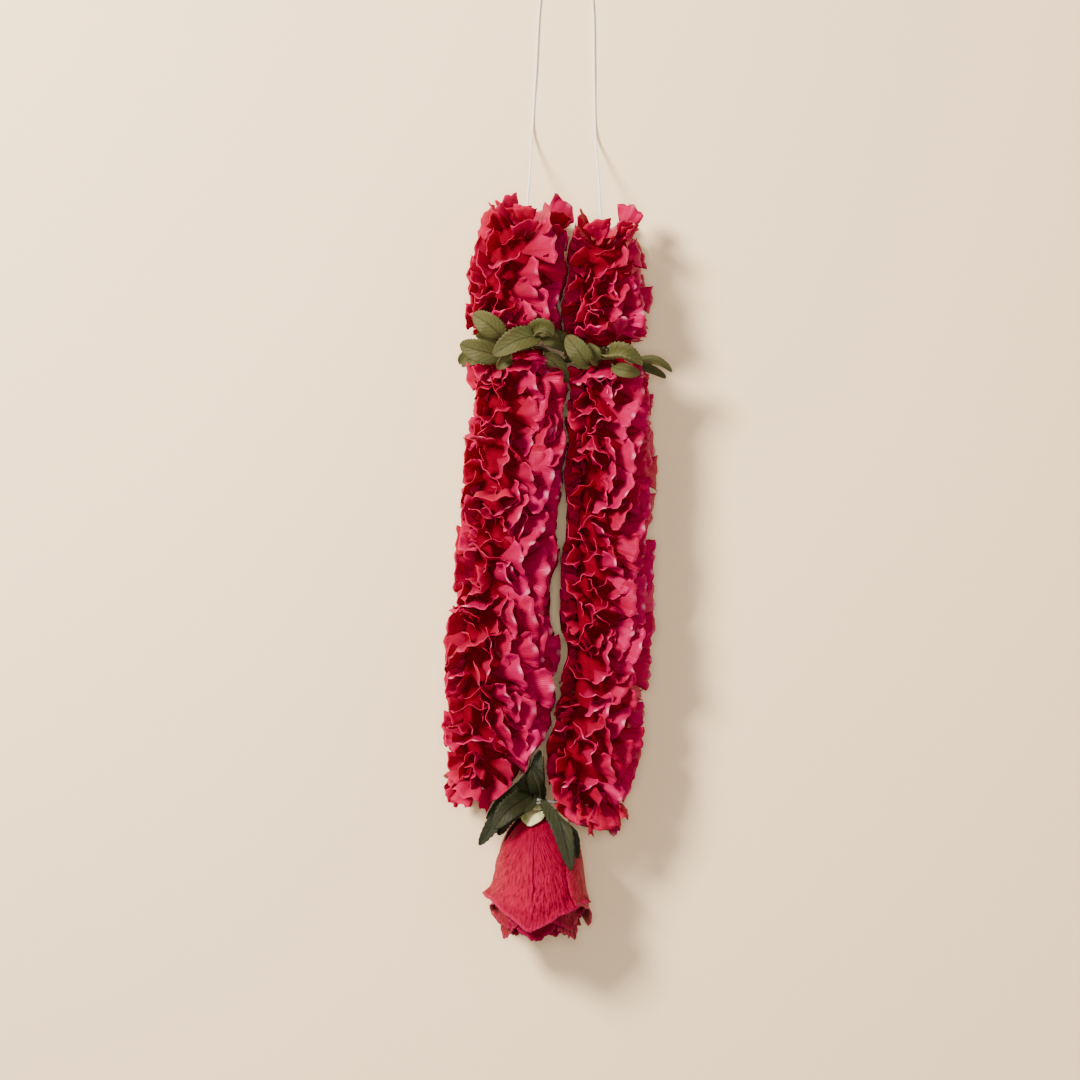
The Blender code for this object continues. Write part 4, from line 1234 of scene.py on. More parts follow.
    def build(self, name: str, blank: Blank, finishes: Sequence[bpy.types.Material]) -> bpy.types.Object:
        """Makes the run: its core of packed petal bases and its petals.

        Args:
            name: the piece's name.
            blank: what its petals are shaped from.
            finishes: the petals' material and the core's.

        Returns:
            The piece.
        """
        bm = layered_mesh()
        stations = self.strand.route.stations(self.top, self.bottom, self.core_step)
        girths = [self.core_share * radius for _, _, radius in stations]
        girths[0] *= self.end_share
        girths[-1] *= self.end_share
        for aside in (-self.core_aside, 0.0, self.core_aside):
            points = [point + upward.cross(OUTWARD) * (aside * radius) for point, upward, radius in stations]
            share = self.aside_share if aside else 1.0
            tube(bm, points, [girth * share for girth in girths], self.core_sides, finish=1)
        for k, (petal, tint) in enumerate(self.petals()):
            margin = self.margin_step * (k * 3 % 7)
            if self.fits(petal, margin):
                blank.shape(bm, lambda u, v: self.settle(petal.point(u, v), margin), tint)
        return shown_piece(bm, name, finishes)


# Leaves


def facing(turn: float, pitch: float) -> Vector:
    """The way a blade faces.

    Args:
        turn: how far it is turned from the viewer to the left, in degrees.
        pitch: how far it is pitched up, in degrees.

    Returns:
        The way, one unit long.
    """
    across, up = math.radians(turn), math.radians(pitch)
    return Vector((-math.sin(across) * math.cos(up), math.sin(up), math.cos(across) * math.cos(up)))


@dataclass
class Leaf:
    """One toothed rose leaf: a stalk and a blade along its midrib, folded, quilted and rippled a little."""

    route: Sequence[Vector]
    face: Vector
    width: float
    stalk: float
    curl: float = 0.0
    tooth: float = 0.15
    stalk_width: float = 1.1
    fold: float = 0.2
    ripple: float = 0.6
    quilt: float = 0.09

    STALK_END = 0.12
    TEETH = 16
    ROWS_PER_TOOTH = 3
    SIDE_VEINS = 7.0
    SLANT = 0.26
    LEAST_HALF_WIDTH = 0.04

    @classmethod
    def rows(cls) -> list[float]:
        """The rows of a leaf's blank.

        Returns:
            Their places: a few along the stalk, and the same number for each tooth.
        """
        fine = cls.TEETH * cls.ROWS_PER_TOOTH
        blade = [cls.STALK_END + (1.0 - cls.STALK_END) * k / fine for k in range(fine + 1)]
        return [0.0, cls.STALK_END / 3, cls.STALK_END * 2 / 3, *blade]

    @classmethod
    def radial(
        cls, root: Vector, along: Vector, face: Vector, length: float, width: float, arch: float
    ) -> Leaf:
        """A leaf that stands straight out or arches over.

        Args:
            root: where its stalk starts.
            along: the way it sets out.
            face: the way its upper face looks there.
            length: its length with its stalk.
            width: its width.
            arch: how far it turns over its length, in degrees.

        Returns:
            The leaf.
        """
        bend = math.radians(arch) / length
        distances = [length * k / 4 for k in range(5)]
        places = [(math.sin(bend * far) / bend, (1.0 - math.cos(bend * far)) / bend) for far in distances]
        route = [root + along * ahead - face * drop for ahead, drop in places]
        return cls(route, face, width, stalk=cls.STALK_END)

    def half_width(self, share: float) -> float:
        """Half the blade's width, with the teeth of its edge.

        Args:
            share: the place along the blade, from 0 to 1.

        Returns:
            The half width there.
        """
        plain = math.sin(math.pi * min(max(share, 0.0), 1.0) ** 0.8) ** 0.62
        tooth = 1.0 - (share * self.TEETH + 0.001) % 1.0
        return self.width / 2 * plain * (1.0 - self.tooth * tooth)

    def point(self, u: float, v: float) -> Vector:
        """A point of the leaf.

        Args:
            u: the place across it, from -1 to 1.
            v: the place from its stalk's root to its tip.

        Returns:
            The point.
        """
        share = (v - self.STALK_END) / (1.0 - self.STALK_END)
        t = self.stalk + (1.0 - self.stalk) * share if share > 0.0 else self.stalk * v / self.STALK_END
        last = len(self.route) - 1
        shares = [min(max(place, 0.0), 1.0) for place in (t - 0.02, t, t + 0.02)]
        before, middle, after = (Vector(spline_point(self.route, place * last)) for place in shares)
        ahead = (after - before).normalized()
        across = ahead.cross(self.face).normalized()
        half = self.stalk_width / 2
        if share > 0.0:
            half = max(half * (1.0 - share * 6.0), self.half_width(share), self.LEAST_HALF_WIDTH)
        lift = self.fold * half * abs(u) + self.ripple * u * u * math.sin(9.0 * v + self.width)
        lift += self.curl * half * abs(u) ** 3
        veins = abs(math.sin(math.pi * self.SIDE_VEINS * (share - self.SLANT * abs(u))))
        lift += self.quilt * veins * (1.0 - u * u) * smooth_step(abs(u), 0.0, 0.3)
        return middle + across * (half * u) + across.cross(ahead) * lift


@dataclass(frozen=True)
class LaidLeaf:
    """A large collar leaf laid along its own midrib; the turn and pitch of its face are in degrees."""

    midrib: Rows
    width: float
    turn: float = 0.0
    pitch: float = 0.0
    curl: float = 0.0


@dataclass
class LeafCollar:
    """The leaf collar of a strand: a bound ring of stalks round the thread, with its leaves."""

    strand: StrandForm
    leaves: Rows
    laid: Sequence[LaidLeaf]
    radius: float = 3.4
    length: float = 5.6
    # The ring of stalks: how far along its length and how wide, as shares.
    profile: Rows = ((-0.5, 0.55), (-0.35, 0.9), (0.0, 1.0), (0.35, 0.9), (0.5, 0.55))
    sides: int = 16
    root_inset: float = 1.2
    flare: float = 0.75
    room: float = 2.5
    softness: float = 0.9

    def settle(self, point: Vector) -> Vector:
        """Eases a leaf's point into the wedge that the petals leave free.

        Args:
            point: the point.

        Returns:
            The eased point.
        """
        upward, height, out = self.strand.from_collar(point)
        room = self.room + self.flare * out
        eased = -eased_below(-eased_below(height, room, self.softness), room, self.softness)
        point = point + upward * (eased - height)
        point.x = self.strand.sign * self.strand.short_of_edge(point)
        return self.strand.above_floor(point)

    def build(self, name: str, blank: Blank, finish: bpy.types.Material) -> bpy.types.Object:
        """Makes the collar's ring and leaves.

        Args:
            name: the piece's name.
            blank: what its leaves are shaped from.
            finish: its material.

        Returns:
            The piece.
        """
        bm = layered_mesh()
        centre, upward, _ = self.strand.route.at(self.strand.collar)
        lateral = upward.cross(OUTWARD).normalized()
        points = [centre + upward * self.length * place for place, _ in self.profile]
        tube(bm, points, [self.radius * swell for _, swell in self.profile], self.sides)
        for k, (azimuth, rise, length, width, roll, arch) in enumerate(self.leaves):
            turn, climb = math.radians(azimuth), math.radians(rise)
            out = lateral * math.cos(turn) + OUTWARD * math.sin(turn)
            along = out * math.cos(climb) + upward * math.sin(climb)
            face = upward * math.cos(climb) - out * math.sin(climb)
            sense = 1.0 if math.cos(turn) > 0.0 else -1.0
            face = Matrix.Rotation(math.radians(roll) * sense, 3, along) @ face
            root = centre + out * (self.radius - self.root_inset)
            leaf = Leaf.radial(root, along, face, length, width, arch)
            blank.shape(bm, lambda u, v: self.settle(leaf.point(u, v)), tint=(k * 5 % 7) / 6)
        for laid in self.laid:
            route = [Vector(row) for row in laid.midrib]
            stalk = 1.0 / (len(route) - 1)
            leaf = Leaf(route, facing(laid.turn, laid.pitch), laid.width, stalk, laid.curl)
            blank.shape(bm, leaf.point, tint=0.5 + 0.5 * math.sin(laid.width * 7.0))
        return shown_piece(bm, name, [finish])


# The rose and its leaves


@dataclass
class RoseAxis:
    """The line that the upside-down rose hangs along, and the bloom's outline round it."""

    x: float = -9.5
    z: float = 27.5
    top_y: float = -138.0
    rim_y: float = -186.0
    outline: Rows = (
        (-138.0, 13.5),
        (-145.6, 19.0),
        (-154.0, 22.4),
        (-162.4, 24.2),
        (-170.8, 25.2),
        (-179.2, 26.0),
        (-186.0, 27.0),
    )

    def point(self, azimuth: float, y: float, radius: float) -> Vector:
        """A point round the axis.

        Args:
            azimuth: its angle in degrees; 0 is +X and 90 is towards the viewer.
            y: its place along the axis.
            radius: its distance from the axis.

        Returns:
            The point.
        """
        turn = math.radians(azimuth)
        return Vector((self.x + radius * math.cos(turn), y, self.z + radius * math.sin(turn)))

    def radius(self, y: float) -> float:
        """The bloom's outer radius at y."""
        return spline_at(self.outline, max(y, self.rim_y))


@dataclass(frozen=True)
class RoseRing:
    """One whorl of the rose: its first petal's azimuth, its petals' number, half spread and form."""

    azimuth: float
    petals: int
    spread: float
    rim_y: float
    inset: float
    corner: float
    drop: float
    crease: float = 0.0
    roll_out: float = 1.4
    lip: float = 1.2


@dataclass
class RosePetal:
    """One petal of the rose, cupped round the bud with a pointed, rolled-out rim and wrinkles."""

    axis: RoseAxis
    ring: RoseRing
    azimuth: float
    seed: float
    lap: float = 1.3
    wrinkle: float = 0.75
    crease_width: float = 0.035
    # The root turns in under the hip.
    root_radius: float = 5.5
    root_dip: float = 2.5
    root_spread: float = 0.34
    least_radius: float = 4.0

    ROOT = 0.06

    def root_point(self, u: float, share: float) -> Vector:
        """A point of the root, which turns in under the hip.

        Args:
            u: the place across it, from -1 to 1.
            share: the place along it, from 0 at its start to 1 at the blade.

        Returns:
            The point.
        """
        blade = self.axis.radius(self.axis.top_y) - self.ring.inset
        radius = self.root_radius + (blade - self.root_radius) * share
        y = self.axis.top_y - self.root_dip * (1.0 - share)
        azimuth = self.azimuth + self.ring.spread * self.root_spread * u
        return self.axis.point(azimuth, y, max(radius, self.least_radius))

    def reach(self, u: float, w: float) -> float:
        """How far a line of the blade reaches towards the rim.

        Args:
            u: the place across it, from -1 to 1.
            w: the place along the blade, from 0 to 1.

        Returns:
            The share of the full length, less at the corners than at the pointed middle.
        """
        half = math.radians(min(self.ring.spread, 90.0))
        side = math.sin(half * u) / math.sin(half)
        slope = self.ring.corner * (math.hypot(side, 0.06) - 0.06)
        slope += 0.05 * math.sin(2.6 * u + self.seed) * abs(u)
        ragged = 0.006 * math.sin(17.0 * u + self.seed) + 0.004 * math.sin(31.0 * u - self.seed)
        return 1.0 - slope * smooth_step(w, 0.0, 0.9) + ragged * smooth_step(w, 0.8, 1.0)

    def relief(self, u: float, w: float) -> float:
        """The blade's wrinkles and its one long crease.

        Args:
            u: the place across it, from -1 to 1.
            w: the place along the blade, from 0 to 1.

        Returns:
            How far they stand out.
        """
        fan = u * (1.0 + 0.5 * (1.0 - w))
        place = Vector((fan * 13.0 + self.seed, w * 2.2, self.seed * 1.7))
        wrinkles = self.wrinkle * noise.noise(place) * smooth_step(w, 0.03, 0.2)
        bent = u - 0.05 + 0.16 * smooth_step(w, 0.5, 0.75) - 0.20 * smooth_step(w, 0.7, 0.95)
        ridge = math.exp(-((bent / self.crease_width) ** 2)) * smooth_step(w, 0.05, 0.3)
        ridge -= 0.8 * smooth_step(bent, 0.0, 0.25)
        return wrinkles + self.ring.crease * ridge * (1.0 - smooth_step(w, 0.6, 0.85))

    def point(self, u: float, v: float) -> Vector:
        """A point of the petal.

        Args:
            u: the place across it, from -1 to 1.
            v: the place from its root to its rim.

        Returns:
            The point.
        """
        if v < self.ROOT:
            return self.root_point(u, v / self.ROOT)
        w = (v - self.ROOT) / (1.0 - self.ROOT)
        near_rim = smooth_step(w, 0.8, 1.0)
        y = self.axis.top_y + (self.ring.rim_y - self.axis.top_y) * w * self.reach(u, w)
        radius = self.axis.radius(y) - self.ring.inset + self.lap * u
        radius += self.ring.roll_out * near_rim * abs(u) ** 2.5 - self.ring.drop * near_rim * (1.0 - u * u)
        radius += self.ring.lip * smooth_step(w, 0.93, 1.0) + 0.7 * near_rim * math.sin(4.0 * u + self.seed)
        narrow = 0.42 + 0.58 * min(1.0, w / 0.45)
        azimuth = self.azimuth + self.ring.spread * narrow * u
        return self.axis.point(azimuth, y, radius + self.relief(u, w))


@dataclass
class Rose:
    """The upside-down rose: its whorls of petals, and the hip and sepals above them."""

    axis: RoseAxis
    strand: StrandForm
    rings: Sequence[RoseRing] = (
        RoseRing(100.0, 3, 74.0, -200.0, 0.2, 0.30, 0.6, 1.1, roll_out=3.4, lip=2.4),
        RoseRing(46.0, 4, 50.0, -200.0, 4.4, 0.16, 0.6, 0.3),
        RoseRing(96.0, 5, 42.0, -206.0, 7.2, 0.15, 0.4),
        RoseRing(30.0, 5, 44.0, -205.0, 9.2, 0.15, 0.4),
        RoseRing(60.0, 4, 52.0, -204.0, 11.6, 0.12, 0.3),
        RoseRing(10.0, 3, 66.0, -203.0, 15.0, 0.08, 0.2),
        RoseRing(50.0, 3, 74.0, -202.0, 18.4, 0.06, 0.1),
        RoseRing(80.0, 2, 100.0, -201.0, 21.5, 0.03, 0.0),
    )
    # A row of the bud or the hip is y and radius.
    bud: Rows = ((-138.0, 6.5), (-141.0, 12.5), (-152.0, 18.0), (-176.0, 15.0), (-186.0, 8.0), (-190.0, 3.0))
    hip: Rows = (
        (-119.0, 2.0),
        (-130.6, 2.0),
        (-131.3, 4.2),
        (-133.5, 5.6),
        (-136.0, 5.4),
        (-137.7, 4.2),
    )
    # A sepal row is y, radius from the axis and half its width in degrees.
    sepal: Rows = (
        (-134.5, 4.0, 14.0),
        (-134.3, 8.5, 33.0),
        (-135.8, 13.0, 30.0),
        (-138.8, 16.0, 22.0),
        (-142.0, 18.4, 3.0),
    )
    sepals: int = 5
    sepal_turn: float = 36.0
    stem_radius: float = 1.9

    def build_bloom(self, blank: Blank, finishes: Sequence[bpy.types.Material]) -> bpy.types.Object:
        """Makes the whorls of petals round a bud painted dark: painted shade in the bloom's heart.

        Args:
            blank: what the petals are shaped from.
            finishes: the petals' material and the bud's.

        Returns:
            The piece.
        """
        bm = layered_mesh()
        self.turned(bm, self.bud, sides=24, finish=1)
        for number, ring in enumerate(self.rings):
            for k in range(ring.petals):
                azimuth, seed = ring.azimuth + 360.0 * k / ring.petals, 2.3 * number + 1.1 * k
                petal = RosePetal(self.axis, ring, azimuth, seed)
                # The outer whorl gets the full tint and the inner whorls less, which the finish paints
                # darker: painted shade.
                tint = 0.25 * (k % 2) if number else 1.0
                blank.shape(bm, lambda u, v: self.strand.above_floor(petal.point(u, v)), tint)
        return shown_piece(bm, "upside_down_rose", finishes)

    def turned(self, bm: bmesh.types.BMesh, profile: Rows, sides: int, finish: int = 0) -> None:
        """Adds a turned body round the rose's axis.

        Args:
            bm: the mesh to add to.
            profile: rows of y and radius.
            sides: the number of faces round it.
            finish: the material number of its faces.
        """
        points = [self.axis.point(0.0, y, 0.0) for y, _ in profile]
        tube(bm, points, [radius for _, radius in profile], sides, finish)

    def sepal_point(self, azimuth: float, u: float, v: float) -> Vector:
        """A point of a sepal.

        Args:
            azimuth: the sepal's azimuth.
            u: the place across it, from -1 to 1.
            v: the place from its root to its tip.

        Returns:
            The point.
        """
        y, radius, half = spline_point(self.sepal, v * (len(self.sepal) - 1))
        lift = 0.5 * (1.0 - u * u) + 0.25 * math.sin(12.0 * v + azimuth)
        return self.axis.point(azimuth + max(half, 0.3) * u, y, radius + lift)

    def build_calyx(self, blank: Blank, finish: bpy.types.Material) -> bpy.types.Object:
        """Makes the stem stub, the hip and five sepals that turn down over the bloom.

        Args:
            blank: what the sepals are shaped from.
            finish: the material.

        Returns:
            The piece.
        """
        bm = layered_mesh()
        fine = [spline_point(self.hip, t / 4) for t in range(4 * (len(self.hip) - 1) + 1)]
        self.turned(bm, [(y, max(radius, self.stem_radius)) for y, radius in fine], sides=20)
        for k in range(self.sepals):
            azimuth = 360.0 * k / self.sepals + self.sepal_turn
            blank.shape(bm, lambda u, v: self.sepal_point(azimuth, u, v), tint=k / 4)
        return shown_piece(bm, "rose_hip_and_sepals", [finish])


@dataclass
class PendantLeaves:
    """The leaves bound round the rose's stem below the knot, on a sleeve of their own stalks."""

    axis: RoseAxis
    left: StrandForm
    right: StrandForm
    sleeve: tuple[float, float] = (-127.3, -121.0)
    sleeve_radius: float = 3.6
    # The sleeve: how far up it and how wide, as shares.
    profile: Rows = ((0.0, 0.8), (0.12, 0.97), (0.5, 1.0), (0.88, 0.97), (1.0, 0.8))
    sides: int = 20
    root_drop: float = 2.5
    root_inset: float = 1.0
    stalk: float = 0.22
    tooth: float = 0.2
    strand_gap: float = 0.9
    bloom_gap: float = 1.6
    bloom_reach: float = 4.0
    softness: float = 0.9
    # A leaf is its root's azimuth, its midrib's points, its width and the turn of its blade.
    leaves: Sequence[tuple[float, Rows, float, float]] = (
        (150.0, ((-20.0, -126.0, 34.0), (-32.0, -137.0, 42.0), (-43.5, -153.0, 40.0)), 13.0, 20.0),
        (130.0, ((-17.0, -127.0, 38.0), (-27.0, -133.0, 49.0), (-35.0, -143.0, 51.0)), 15.0, 10.0),
        (165.0, ((-19.0, -122.5, 29.0), (-28.0, -128.5, 33.0), (-40.0, -139.0, 30.0)), 14.0, 15.0),
        (110.0, ((-13.0, -129.0, 38.0), (-20.0, -134.0, 45.0), (-28.0, -141.5, 49.0)), 7.0, 35.0),
        (100.0, ((-10.0, -124.0, 38.0), (-11.5, -113.0, 44.0), (-9.5, -100.0, 43.0)), 12.0, 10.0),
        (75.0, ((-7.0, -125.0, 36.0), (-8.0, -118.0, 46.0), (-13.5, -109.0, 47.0)), 9.0, -25.0),
        (140.0, ((-14.0, -124.0, 32.0), (-18.0, -116.0, 35.0), (-20.0, -106.0, 34.0)), 11.0, 15.0),
        (40.0, ((-5.0, -124.0, 31.0), (-3.0, -116.0, 34.0), (-2.0, -104.0, 32.0)), 11.0, -15.0),
        (80.0, ((-5.0, -127.5, 38.0), (2.0, -140.0, 50.0), (7.8, -166.0, 53.0)), 15.0, 0.0),
        (50.0, ((-1.5, -127.0, 34.0), (7.0, -139.0, 43.0), (11.5, -160.0, 44.0)), 11.0, 10.0),
        (230.0, ((-16.0, -128.0, 18.0), (-27.0, -137.0, 10.0), (-33.0, -150.0, 6.0)), 13.0, -20.0),
    )

    def settle(self, point: Vector) -> Vector:
        """Eases a point clear of both strands, of the bloom and of the floor.

        Args:
            point: the point.

        Returns:
            The eased point.
        """
        for strand in (self.left, self.right):
            limit = -strand.sign * line_at(strand.edge, point.y) - self.strand_gap
            point.x = -strand.sign * eased_below(-strand.sign * point.x, limit, self.softness)
        if point.y < self.axis.top_y + self.bloom_reach:
            offset = Vector((point.x - self.axis.x, 0.0, point.z - self.axis.z))
            room = self.axis.radius(min(point.y, self.axis.top_y)) + self.bloom_gap
            distance = max(offset.length, 0.01)
            point = point + offset / distance * (-eased_below(-distance, -room, self.softness) - distance)
        return self.left.above_floor(point)

    def build(self, blank: Blank, finish: bpy.types.Material) -> bpy.types.Object:
        """Makes the sleeve of stalks and its leaves.

        Args:
            blank: what the leaves are shaped from.
            finish: the material.

        Returns:
            The piece.
        """
        bm = layered_mesh()
        low, high = self.sleeve
        points = [self.axis.point(0.0, low + (high - low) * place, 0.0) for place, _ in self.profile]
        tube(bm, points, [self.sleeve_radius * swell for _, swell in self.profile], self.sides)
        for k, (azimuth, path, width, turn) in enumerate(self.leaves):
            root = self.axis.point(azimuth, high - self.root_drop, self.sleeve_radius - self.root_inset)
            route = [root, *(Vector(row) for row in path)]
            leaf = Leaf(route, facing(turn, 0.0), width, self.stalk, tooth=self.tooth)
            blank.shape(bm, lambda u, v: self.settle(leaf.point(u, v)), tint=(k * 3 % 5) / 4)
        return shown_piece(bm, "pendant_rose_leaves", [finish])


# Threads


@dataclass
class NeckCord:
    """The bare neck cord: out of the left strand, down to the floor, round its loop and back."""

    diameter: float = 1.2
    points: int = 180
    route: Rows = (
        (-17.2, 194.5, 26.5),
        (-16.5, 206.0, 26.5),
        (-15.4, 220.0, 24.0),
        (-14.6, 236.0, 9.0),
        (-13.6, 252.0, 0.9),
        (-11.6, 285.0, 0.75),
        (-9.8, 318.0, 0.75),
        (-6.5, 334.0, 0.75),
        (5.7, 343.0, 0.75),
        (17.5, 334.0, 0.75),
        (20.6, 318.0, 0.75),
        (21.2, 285.0, 0.75),
        (21.8, 250.0, 0.9),
        (22.6, 234.0, 8.5),
        (23.6, 216.0, 22.5),
        (24.3, 202.0, 24.5),
        (25.4, 187.5, 24.5),
    )

    def centreline(self) -> list[Vector]:
        """Points along the cord."""
        last = len(self.route) - 1
        return [Vector(spline_point(self.route, last * i / (self.points - 1))) for i in range(self.points)]

    def build(self, finish: bpy.types.Material) -> bpy.types.Object:
        """Args:
            finish: its material.

        Returns:
            The piece.
        """
        points = self.centreline()
        made = round_thread("cotton_neck_cord", points, self.diameter, finish)
        length = sum((b - a).length for a, b in zip(points, points[1:]))
        put_in_place(made, "neck_cord")
        return made


def round_thread(
    name: str, points: Sequence[Vector], diameter: float, finish: bpy.types.Material
) -> bpy.types.Object:
    """A round thread along points, as a curve with filled ends.

    Args:
        name: the piece's name.
        points: the thread's centreline.
        diameter: its diameter.
        finish: its material.

    Returns:
        The curve object, in the scene.
    """
    curve = bpy.data.curves.new(name, "CURVE")
    curve.dimensions = "3D"
    curve.bevel_depth = diameter / 2 * MM
    curve.bevel_resolution = 2
    curve.use_fill_caps = True
    spline = curve.splines.new("POLY")
    spline.points.add(len(points) - 1)
    for place, point in zip(spline.points, points):
        place.co = (*(point * MM), 1.0)
    curve.materials.append(finish)
    made = bpy.data.objects.new(name, curve)
    bpy.context.collection.objects.link(made)
    return made


@dataclass
class StrandThread:
    """The thread inside one strand, from the neck cord down to the knot."""

    strand: StrandForm
    diameter: float = 1.2
    cord_gap: float = 0.3
    step: float = 24.0

    def build(self, finish: bpy.types.Material) -> bpy.types.Object:
        """Makes the thread.

        Args:
            finish: its material.

        Returns:
            The piece.
        """
        start = Vector(self.strand.cord_start[0]) - Vector((0.0, self.cord_gap, 0.0))
        inside = [point for point, _, _ in self.strand.route.stations(0.0, self.strand.end, self.step)]
        points = [start, *inside, *(Vector(row) for row in self.strand.thread_end)]
        return round_thread(f"cotton_thread_{self.strand.side.value}", points, self.diameter, finish)


@dataclass
class TieKnot:
    """The thread wound round the rose's stem where both strands end."""

    axis: RoseAxis
    y: float = -129.2
    height: float = 2.6
    radius: float = 3.1
    unevenness: float = 0.35
    diameter: float = 0.9
    turns: float = 3.5
    points: int = 120

    def build(self, finish: bpy.types.Material) -> bpy.types.Object:
        """Makes the windings, one over another, as one thread.

        Args:
            finish: its material.

        Returns:
            The piece.
        """
        made = []
        for i in range(self.points):
            share = i / (self.points - 1)
            y = self.y + 0.42 * self.height * math.cos(3.0 * math.pi * share)
            radius = self.radius + self.unevenness * math.sin(7.0 * math.pi * share)
            made.append(self.axis.point(360.0 * self.turns * share, y, radius))
        return round_thread("knotted_cotton_thread", made, self.diameter, finish)


# The room


@dataclass
class Studio:
    """The pale floor, soft studio light and the camera that looks straight down."""

    view_width: float = 0.6048
    middle: tuple[float, float] = (-0.0095, 0.0168)
    strand_height: float = 0.026
    camera_distance: float = 2.2
    sensor: float = 36.0
    far_clip: float = 20.0
    room_colour: Colour = (0.95, 0.92, 0.88)
    room_strength: float = 0.40
    floor_size: float = 3000.0
    # A light is its name, place, size in metres, power in watts and colour.
    lights: Sequence[tuple[str, Sequence[float], float, float, Colour]] = (
        ("key_from_the_left", (-0.95, 0.75, 1.15), 0.40, 80.0, (1.0, 0.95, 0.88)),
        ("fill_from_the_right", (1.2, -0.2, 1.0), 1.4, 5.0, (1.0, 0.96, 0.92)),
        ("soft_overhead", (0.0, 0.05, 1.7), 0.4, 12.0, (1.0, 0.98, 0.95)),
    )

    def build(self) -> None:
        """Makes the camera, the lights, the room's light and the floor."""
        scene = bpy.context.scene
        lens = bpy.data.cameras.new("camera")
        lens.sensor_width = self.sensor
        lens.lens = self.sensor * self.camera_distance / self.view_width
        lens.clip_end = self.far_clip
        camera = bpy.data.objects.new("camera", lens)
        camera.location = (*self.middle, self.strand_height + self.camera_distance)
        scene.collection.objects.link(camera)
        scene.camera = camera
        for name, place, size, power, colour in self.lights:
            self.light(name, Vector(place), size, power, colour)
        world = bpy.data.worlds.new("soft_room_light")
        world.use_nodes = True
        background = world.node_tree.nodes["Background"].inputs
        background["Color"].default_value = (*self.room_colour, 1.0)
        background["Strength"].default_value = self.room_strength
        scene.world = world
        bm = bmesh.new()
        bmesh.ops.create_grid(bm, x_segments=1, y_segments=1, size=self.floor_size)
        floor = shown_piece(bm, "pale_floor", [FloorFinish().make()])

    def light(self, name: str, place: Vector, size: float, power: float, colour: Colour) -> None:
        """Adds a square area light that faces the garland.

        Args:
            name: its name.
            place: where it stands, in metres.
            size: its size in metres.
            power: its power in watts.
            colour: its colour.
        """
        lamp = bpy.data.lights.new(name, "AREA")
        lamp.energy, lamp.size, lamp.color = power, size, colour
        made = bpy.data.objects.new(name, lamp)
        made.location = place
        made.rotation_mode = "QUATERNION"
        made.rotation_quaternion = (-place).to_track_quat("-Z", "Y")
        bpy.context.scene.collection.objects.link(made)


# The garland


# The seam that the strands share: y, the left strand's edge and the right strand's, apart at the openings.
SEAM: Rows = (
    (230.0, 10.0, 10.2),
    (194.0, 9.6, 9.8),
    (177.0, 5.0, 5.2),
    (166.0, 6.6, 6.8),
    (148.0, 1.4, 1.6),
    (132.0, 4.4, 4.6),
    (114.0, 3.4, 3.6),
    (102.0, 7.2, 7.4),
    (86.0, 3.6, 3.8),
    (72.0, 6.6, 6.8),
    (56.0, 3.0, 3.2),
    (44.0, 4.4, 4.6),
    (35.0, 0.6, 5.2),
    (18.0, 0.4, 5.0),
    (12.0, 2.6, 2.8),
    (4.0, 1.0, 1.4),
    (-4.0, -3.2, 1.0),
    (-30.0, -3.8, 1.2),
    (-36.0, 1.8, 2.2),
    (-41.0, 3.0, 5.2),
    (-50.0, 3.0, 5.4),
    (-56.0, 1.8, 2.2),
    (-62.0, 0.2, 0.4),
    (-70.0, 1.8, 2.0),
    (-80.0, -3.2, -3.0),
    (-87.0, -2.4, -2.2),
)


def seam_edge(side: Side) -> list[tuple[float, float]]:
    """One strand's edge along the seam.

    Args:
        side: the strand.

    Returns:
        Rows of y and x.
    """
    return [(y, left if side is Side.LEFT else right) for y, left, right in SEAM]


